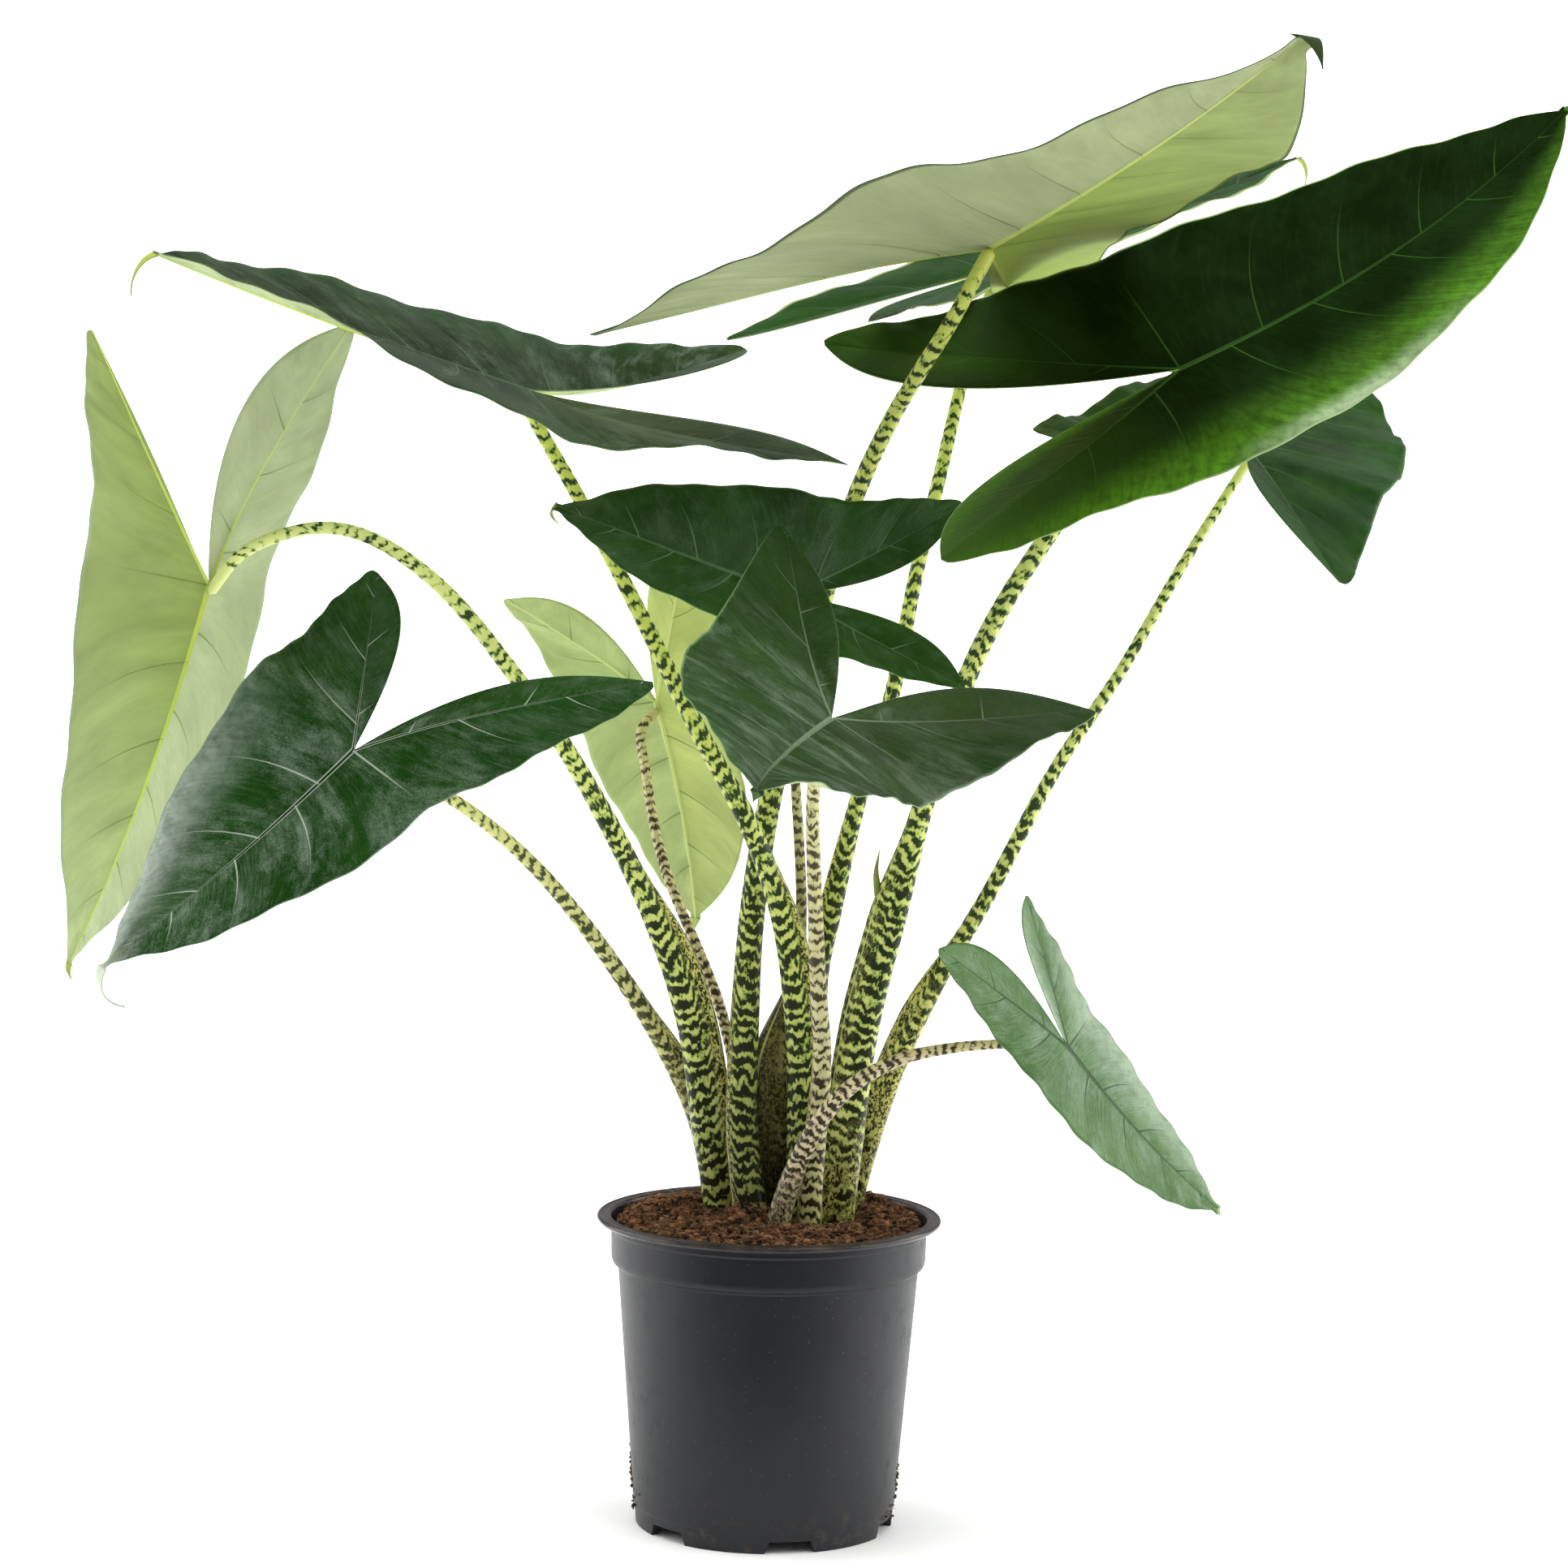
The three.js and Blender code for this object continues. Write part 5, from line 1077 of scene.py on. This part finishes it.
def moulded_polypropylene():
    """Black polypropylene as it leaves the mould: satin, with a faint skin and dusty from use."""
    material, tree, shader = surface("satin_moulded_polypropylene", Roughness=0.45, IOR=1.49,
                                     Specular_IOR_Level=0.33)
    where = add(tree, "TexCoord", out="Object")
    clouds = add(tree, "TexNoise", where, Scale=30.0, Detail=4.0)
    colour = add(tree, "Mix", {0: clouds, 6: linear("#18191d"), 7: linear("#1f2026")}, out=2,
                 data_type="RGBA")
    # Dust specks about 0.3 mm across, a few on every square centimetre.
    cells = add(tree, "TexVoronoi", where, out=None, Scale=300.0, Randomness=1.0)
    close = add(tree, "MapRange", cells["Distance"], 0.07, 0.12, 1.0, 0.0)
    chosen = add(tree, "SeparateColor", cells["Color"])
    few = add(tree, "Math", chosen, 0.72, operation="GREATER_THAN")
    specks = add(tree, "Math", close, few, operation="MULTIPLY")
    specks = add(tree, "Math", specks, 0.22, operation="MULTIPLY")
    colour = add(tree, "Mix", {0: specks, 6: colour, 7: linear("#9a9b9c")}, out=2,
                 data_type="RGBA")
    # A film of dry soil lies on the foot.
    height = add(tree, "SeparateXYZ", where, out=2)
    low = add(tree, "MapRange", height, 0.005, 0.035, 0.55, 0.0)
    patchy = add(tree, "TexNoise", where, Scale=75.0, Detail=5.0, Roughness=0.7)
    patchy = add(tree, "MapRange", patchy, 0.52, 0.7)
    film = add(tree, "Math", low, patchy, operation="MULTIPLY")
    colour = add(tree, "Mix", {0: film, 6: colour, 7: linear("#544639")}, out=2, data_type="RGBA")
    # Soil has been wiped over the lip; its lighter film is partly a painted reflection.
    top = add(tree, "MapRange", height, 0.1855, 0.1885, 0.0, 0.5)
    lip_soil_and_sheen = add(tree, "TexNoise", where, Scale=55.0, Detail=5.0, Roughness=0.65)
    lip_soil_and_sheen = add(tree, "MapRange", lip_soil_and_sheen, 0.38, 0.68, 0.15, 1.0)
    lip_soil_and_sheen = add(tree, "Math", top, lip_soil_and_sheen, operation="MULTIPLY")
    colour = add(tree, "Mix", {0: lip_soil_and_sheen, 6: colour, 7: linear("#65524a")}, out=2, data_type="RGBA")
    # Handling has polished the lip.
    rubbed = add(tree, "MapRange", height, 0.184, 0.187, 0.0, -0.2)
    rough = add(tree, "MapRange", patchy, None, None, 0.42, 0.55)
    rough = add(tree, "Math", rough, rubbed, operation="ADD")
    grain = add(tree, "TexNoise", where, Scale=900.0, Detail=2.0)
    bump = add(tree, "Bump", Height=grain, Strength=0.12, Distance=0.0003)
    tree.links.new(colour, shader.inputs["Base Color"])
    tree.links.new(rough, shader.inputs["Roughness"])
    tree.links.new(bump, shader.inputs["Normal"])
    return material


points, faces = pot_mesh()
pot = piece("nursery_pot", points * MM + POT_AXIS, faces, [moulded_polypropylene()])
pot.data.set_sharp_from_angle(angle=math.radians(42))
cutter_points = []
cutter_faces = []
for k in range(SLOT_COUNT):
    turn = math.radians(SLOT_FIRST_ANGLE + 360 / SLOT_COUNT * k - 90)
    outward = np.array([math.cos(turn), math.sin(turn), 0])
    tangent = np.array([-math.sin(turn), math.cos(turn), 0])
    for dx, dy, dz in ((-1, -1, 6), (1, -1, 6), (1, 1, 6), (-1, 1, 6),
                       (-1, -1, 13), (1, -1, 13), (1, 1, 13), (-1, 1, 13)):
        spot = outward * (DRAIN_RADIUS + dy * DRAIN_HOLE[1] / 2) + tangent * dx * DRAIN_HOLE[0] / 2
        cutter_points.append((spot + [0, 0, dz]) * MM + POT_AXIS)
    for ring in ((3, 2, 1, 0), (4, 5, 6, 7), (0, 1, 5, 4), (1, 2, 6, 5), (2, 3, 7, 6), (3, 0, 4, 7)):
        cutter_faces.append([8 * k + i for i in ring])
cutter = piece("drain_hole_cutter", cutter_points, cutter_faces, [])
holes = pot.modifiers.new("drain_holes", "BOOLEAN")
holes.operation = "DIFFERENCE"
holes.solver = "EXACT"
holes.object = cutter
bpy.context.view_layer.update()
drilled = bpy.data.meshes.new_from_object(pot.evaluated_get(bpy.context.evaluated_depsgraph_get()))
pot.modifiers.clear()
pot.data = drilled
bpy.data.objects.remove(cutter)
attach(pot, "root")
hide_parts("pot")

# Peat soil
#
# A potting mix of milled peat and bark fibre, filled in loose round the stalks and settled by
# watering, a little lower than the lip. Its surface is crumbs of a few millimetres and pale straws
# of fibre.
SOIL_EDGE_RADIUS = 93.0
SOIL_RINGS = 84
SOIL_COLUMNS = 300
SOIL_HEAP = [[0, 191], [24, 190.5], [46, 190], [66, 189.5], [84, 188], [93, 186], [94, 186]]
MOUNDS = [[-58, 22, 34, 4.5], [-14, -24, 22, 8], [44, 0, 34, -6.5], [66, 50, 34, 3],
          [30, -22, 16, -3]]
CRUMB_COUNT = 5600
FIBRE_COUNT = 2600
STUCK_ON = [[-88, 3, 31, 6, 60], [-84, 5, 16, 7, 40], [85, 3, 28, 5, 46], [76, 8, 10, 5, 26]]
draw = random.Random(7)


def soil_height(x, y):
    """Height of the soil's surface in mm."""
    r = math.hypot(x, y)
    base = np.interp(r, [p[0] for p in SOIL_HEAP], [p[1] for p in SOIL_HEAP])
    spot = Vector((x, y, 3.0))
    for mound_x, mound_y, mound_radius, rise in MOUNDS:
        off = math.hypot(x - mound_x, y - mound_y) / mound_radius
        base += rise * max(0.0, 1 - off * off) ** 2
    lumps = noise.noise(spot * 0.05) * 2.6 + noise.noise(spot * 0.14) * 2.6
    crumbs = noise.noise(spot * 0.38) * 2.0 + noise.noise(spot * 0.95) * 1.2
    return base + (lumps + crumbs) * (1 - 0.6 * smooth(r, 80, 93))


def soil_mesh():
    """The soil's uneven top, with its side and flat bottom where they rest in the pot."""
    points = [[0, 0, soil_height(0, 0)]]
    for ring in range(1, SOIL_RINGS + 1):
        r = SOIL_EDGE_RADIUS * ring / SOIL_RINGS
        for k in range(SOIL_COLUMNS):
            a = 2 * math.pi * k / SOIL_COLUMNS
            x, y = r * math.cos(a), r * math.sin(a)
            points.append([x, y, soil_height(x, y)])
    sides = [[93.0, 163], [89.0, 155], [77.0, 14], [75.0, 11]]
    for r, z in sides:
        for k in range(SOIL_COLUMNS):
            a = 2 * math.pi * k / SOIL_COLUMNS
            points.append([r * math.cos(a), r * math.sin(a), z])
    faces = [[0, 1 + k, 1 + (k + 1) % SOIL_COLUMNS] for k in range(SOIL_COLUMNS)]
    for ring in range(SOIL_RINGS + len(sides) - 1):
        start = 1 + ring * SOIL_COLUMNS
        for k in range(SOIL_COLUMNS):
            after = (k + 1) % SOIL_COLUMNS
            faces.append([start + k, start + SOIL_COLUMNS + k, start + SOIL_COLUMNS + after,
                          start + after])
    last = 1 + (SOIL_RINGS + len(sides) - 1) * SOIL_COLUMNS
    faces.append([last + k for k in reversed(range(SOIL_COLUMNS))])
    return np.array(points), faces


def free_spot(radius):
    """A random place on the soil that no stalk covers."""
    while True:
        r = (SOIL_EDGE_RADIUS - 2) * math.sqrt(draw.random())
        a = draw.uniform(0, 2 * math.pi)
        x, y = r * math.cos(a), r * math.sin(a)
        if all(math.hypot(x - fx, y - fy) > fr * 0.9 + radius for fx, fy, fr in stalk_feet):
            return x, y


def crumb_mesh(spots):
    """Angular crumbs at the given places and sizes, as points, faces and a random tone for each."""
    golden = (1 + 5 ** 0.5) / 2
    corners = np.array([[-1, golden, 0], [1, golden, 0], [-1, -golden, 0], [1, -golden, 0],
                        [0, -1, golden], [0, 1, golden], [0, -1, -golden], [0, 1, -golden],
                        [golden, 0, -1], [golden, 0, 1], [-golden, 0, -1], [-golden, 0, 1]]) / 1.9
    sides = [[0, 11, 5], [0, 5, 1], [0, 1, 7], [0, 7, 10], [0, 10, 11], [1, 5, 9], [5, 11, 4],
             [11, 10, 2], [10, 7, 6], [7, 1, 8], [3, 9, 4], [3, 4, 2], [3, 2, 6], [3, 6, 8],
             [3, 8, 9], [4, 9, 5], [2, 4, 11], [6, 2, 10], [8, 6, 7], [9, 8, 1]]
    points, faces, tones = [], [], []
    for x, y, z, size in spots:
        turn = Matrix.Rotation(draw.uniform(0, 6.3), 3, Vector((draw.uniform(-1, 1),
                                                                draw.uniform(-1, 1), 1)))
        stretch = np.array([draw.uniform(0.6, 1.4), draw.uniform(0.6, 1.2), draw.uniform(0.45, 0.9)])
        shape = corners * size * stretch
        shape = shape * np.array([[draw.uniform(0.75, 1.2)] for _ in corners])
        shape = shape @ np.array(turn).T + [x, y, z]
        faces.extend([[len(points) + i for i in side] for side in sides])
        points.extend(shape)
        tones.extend([draw.random()] * len(corners))
    return np.array(points), faces, tones


def fibre_mesh():
    """Bent straws of bark fibre, 3 to 16 mm long, with three sides each."""
    points, faces, tones = [], [], []
    for index in range(FIBRE_COUNT):
        length = 3 + 13 * draw.random() ** 3
        x, y = free_spot(1)
        heading = draw.uniform(0, 2 * math.pi)
        tilt = draw.uniform(-0.1, 0.6)
        bend = draw.uniform(-3.2, 3.2)
        thick = draw.uniform(0.1, 0.24)
        tone = draw.random()
        z = soil_height(x, y) + 0.5
        steps = 7
        start = len(points)
        for k in range(steps + 1):
            turn = heading + bend * k / steps
            ring = [Vector((math.cos(turn + 1.57) * math.cos(a), math.sin(turn + 1.57) * math.cos(a),
                            math.sin(a))) for a in (0, 2.1, 4.2)]
            points.extend([[x + v.x * thick, y + v.y * thick, z + v.z * thick] for v in ring])
            tones.extend([tone] * 3)
            x += math.cos(turn) * length / steps
            y += math.sin(turn) * length / steps
            z += math.sin(tilt) * length / steps * (1 - 1.6 * k / steps)
            if math.hypot(x, y) > SOIL_EDGE_RADIUS - 1.5:
                x, y = x * 0.97, y * 0.97
        for k in range(steps):
            for j in range(3):
                a = start + 3 * k + j
                b = start + 3 * k + (j + 1) % 3
                faces.append([a, b, b + 3, a + 3])
        faces.append([start + 2, start + 1, start])
        faces.append([start + 3 * steps + j for j in range(3)])
    return np.array(points), faces, tones


def milled_peat(name, dark, light, scale):
    """Milled peat: rough and matt, so it shows only as broken light and shadow in browns."""
    material, tree, shader = surface(name, Roughness=0.92, IOR=1.35)
    where = add(tree, "TexCoord", out="Object")
    tone = add(tree, "Attribute", out="Fac", attribute_name="tone")
    grain = add(tree, "TexNoise", where, Scale=scale, Detail=6.0, Roughness=0.75)
    # Darker and lighter clumps about 10 mm across; the dark ones are painted shade of hollows.
    clumps_and_shade = add(tree, "TexNoise", where, Scale=95.0, Detail=4.0, Roughness=0.6)
    mixed = add(tree, "Math", tone, 0.5, grain, operation="MULTIPLY_ADD")
    mixed = add(tree, "Math", clumps_and_shade, 1.3, mixed, operation="MULTIPLY_ADD")
    level = add(tree, "MapRange", mixed, 1.2, 1.72)
    colour = add(tree, "Mix", {0: level, 6: linear(dark), 7: linear(light)}, out=2,
                 data_type="RGBA")
    bump = add(tree, "Bump", Height=grain, Strength=0.9, Distance=0.0012)
    tree.links.new(colour, shader.inputs["Base Color"])
    tree.links.new(bump, shader.inputs["Normal"])
    return material


points, faces = soil_mesh()
# Grain of the loose peat is about 2.5 mm, of a crumb's own face about 1 mm.
bed = piece("peat_soil", points * MM + POT_AXIS, faces,
            [milled_peat("milled_peat", "#150b06", "#93674a", 520.0)])
bed_tones = [draw.random() for _ in points]
lying = []
for _ in range(CRUMB_COUNT):
    size = 0.45 + 2.4 * draw.random() ** 4
    x, y = free_spot(size)
    lying.append((x, y, soil_height(x, y) + size * 0.2, size))
made_crumbs = crumb_mesh(lying)
# The lightest crumbs have a painted highlight in their colour.
crumbs = piece("peat_crumbs", made_crumbs[0] * MM + POT_AXIS, made_crumbs[1],
               [milled_peat("peat_crumb", "#190d07", "#ad7c59", 900.0)])
made_fibres = fibre_mesh()
fibres = piece("bark_fibres", made_fibres[0] * MM + POT_AXIS, made_fibres[1],
               [milled_peat("bark_fibre", "#573828", "#c89a72", 500.0)])
# Moist crumbs have dried on to the pot's foot, on its left and right.
held = []
for middle, spread, height, reach, count in STUCK_ON:
    for _ in range(count):
        size = 0.35 + 1.0 * draw.random() ** 2
        turn = math.radians(draw.gauss(middle, spread) - 90)
        z = max(8.0, draw.gauss(height, reach))
        r = max(wall_radius(z), SKIRT_RADIUS) + size * 0.35
        held.append((r * math.cos(turn), r * math.sin(turn), z, size))
made_stuck = crumb_mesh(held)
stuck = piece("stuck_crumbs", made_stuck[0] * MM + POT_AXIS, made_stuck[1],
              [milled_peat("dried_peat_crumb", "#24150c", "#7a573c", 900.0)])
for made, tones in ((bed, bed_tones), (crumbs, made_crumbs[2]), (fibres, made_fibres[2]),
                    (stuck, made_stuck[2])):
    kept = made.data.attributes.new("tone", "FLOAT", "POINT")
    kept.data.foreach_set("value", np.array(tones, dtype=np.float32))
    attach(made, "root")
for made in (bed, crumbs, fibres):
    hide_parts("soil")
for made in (crumbs, stuck):
    made.data.polygons.foreach_set("use_smooth", np.zeros(len(made.data.polygons), dtype=bool))

# Studio
#
# The plant stands on a white sweep of paper that curves up behind it, under large soft boxes. The
# lens is a long one, at the height of the leaves and tipped down a little, as in the photograph.
SWEEP_HALF_WIDTH = 2.0
SWEEP_FRONT = -1.8
GLOSS_FRONT = -0.22
SWEEP_BACK = 2.6
SWEEP_RADIUS = 1.2
SWEEP_TOP = 5.0
CAMERA_PLACE = [4, -2345, 629]
CAMERA_PITCH = 4.28
CAMERA_ROLL = 1.1
PHOTO_WIDTH = 1932
FOCAL_PIXELS = 4783
SENSOR_WIDTH = 36.0

bend = [[SWEEP_BACK, 0.0]]
for k in range(1, 17):
    turn = math.pi / 2 * k / 16
    bend.append([SWEEP_BACK + SWEEP_RADIUS * math.sin(turn), SWEEP_RADIUS * (1 - math.cos(turn))])
bend.append([SWEEP_BACK + SWEEP_RADIUS, SWEEP_TOP])
# The wall glows evenly of its own. The floor has a lamp for itself.
staged = bpy.data.collections.new("paper_only")
for label, outline, glow, shines in (
        ("paper_front", [[SWEEP_FRONT, 0.0], [GLOSS_FRONT, 0.0]], 0.0, False),
        ("paper_floor", [[GLOSS_FRONT, 0.0], [SWEEP_BACK, 0.0]], 0.0, True),
        ("paper_wall", bend, 0.9, False)):
    paper, tree, shader = surface(label + "_white", Roughness=0.9, Emission_Strength=glow)
    shader.inputs["Base Color"].default_value = linear("#f4f4f4")
    shader.inputs["Emission Color"].default_value = linear("#ffffff")
    points = [[x, y, z] for y, z in outline for x in (-SWEEP_HALF_WIDTH, SWEEP_HALF_WIDTH)]
    faces = [[2 * k, 2 * k + 1, 2 * k + 3, 2 * k + 2] for k in range(len(outline) - 1)]
    sheet = piece(label, points, faces, [paper])
    sheet.visible_glossy = shines
    staged.objects.link(sheet)

# Place, aim, size in metres and power in watts. Only the side boxes show in the gloss of the
# leaves.
for label, place, aim, size, power, shines in (
        ("left_box", (-2.0, 0.45, 1.2), (0.0, 0.45, 1.0), (2.3, 2.3), 40, True),
        ("right_box", (2.0, 0.2, 0.85), (0.0, 0.2, 0.85), (2.8, 1.6), 46, True),
        ("front_box", (-1.2, -2.7, 1.9), (0.0, 0.0, 0.5), (1.5, 1.5), 7, False),
        ("brow_box", (0.9, -1.5, 2.4), (0.0, 0.0, 0.6), (1.4, 1.0), 14, True),
        ("top_box", (0.0, 0.2, 2.7), (0.0, 0.0, 0.5), (2.2, 2.2), 66, False),
        ("floor_box", (0.0, -0.2, 2.8), (0.0, -0.2, 0.0), (3.0, 3.0), 104, False)):
    light = bpy.data.lights.new(label, "AREA")
    light.shape = "RECTANGLE"
    light.size, light.size_y = size
    light.energy = power
    box = bpy.data.objects.new(label, light)
    box.location = place
    box.rotation_euler = (Vector(aim) - Vector(place)).to_track_quat("-Z", "Y").to_euler()
    box.visible_glossy = shines
    bpy.context.scene.collection.objects.link(box)
    if label == "floor_box":
        box.light_linking.receiver_collection = staged

# The room lights the plant as a grey one, dark above the boxes. Seen past the paper it is white
# too.
world = bpy.data.worlds.new("grey_room")
world.use_nodes = True
direction = add(world.node_tree, "TexCoord", out="Generated")
overhead = add(world.node_tree, "SeparateXYZ", direction, out=2)
dim = add(world.node_tree, "MapRange", overhead, 0.45, 0.92, 0.34, 0.05,
          interpolation_type="SMOOTHSTEP")
above = add(world.node_tree, "MapRange", overhead, -0.08, 0.02, 0.15, 1.0)
dim = add(world.node_tree, "Math", dim, above, operation="MULTIPLY")
world.node_tree.nodes["Background"].inputs["Color"].default_value = linear("#ffffff")
seen = add(world.node_tree, "LightPath", out="Is Camera Ray")
dim = add(world.node_tree, "Math", seen, dim, operation="MAXIMUM")
world.node_tree.links.new(dim, world.node_tree.nodes["Background"].inputs["Strength"])
bpy.context.scene.world = world

lens = bpy.data.cameras.new("camera")
lens.sensor_width = SENSOR_WIDTH
lens.lens = FOCAL_PIXELS / PHOTO_WIDTH * SENSOR_WIDTH
camera = bpy.data.objects.new("camera", lens)
pitch = math.radians(CAMERA_PITCH)
roll = math.radians(CAMERA_ROLL)
ahead = Vector((0, math.cos(pitch), -math.sin(pitch)))
level_up = Vector((0, math.sin(pitch), math.cos(pitch)))
across = Vector((1, 0, 0)) * math.cos(roll) + level_up * math.sin(roll)
upward = level_up * math.cos(roll) - Vector((1, 0, 0)) * math.sin(roll)
turned = Matrix((across, upward, -ahead)).transposed().to_4x4()
camera.matrix_world = Matrix.Translation(np.array(CAMERA_PLACE) * MM + POT_AXIS) @ turned
bpy.context.scene.collection.objects.link(camera)
bpy.context.scene.camera = camera
bpy.context.scene.view_settings.view_transform = "Standard"
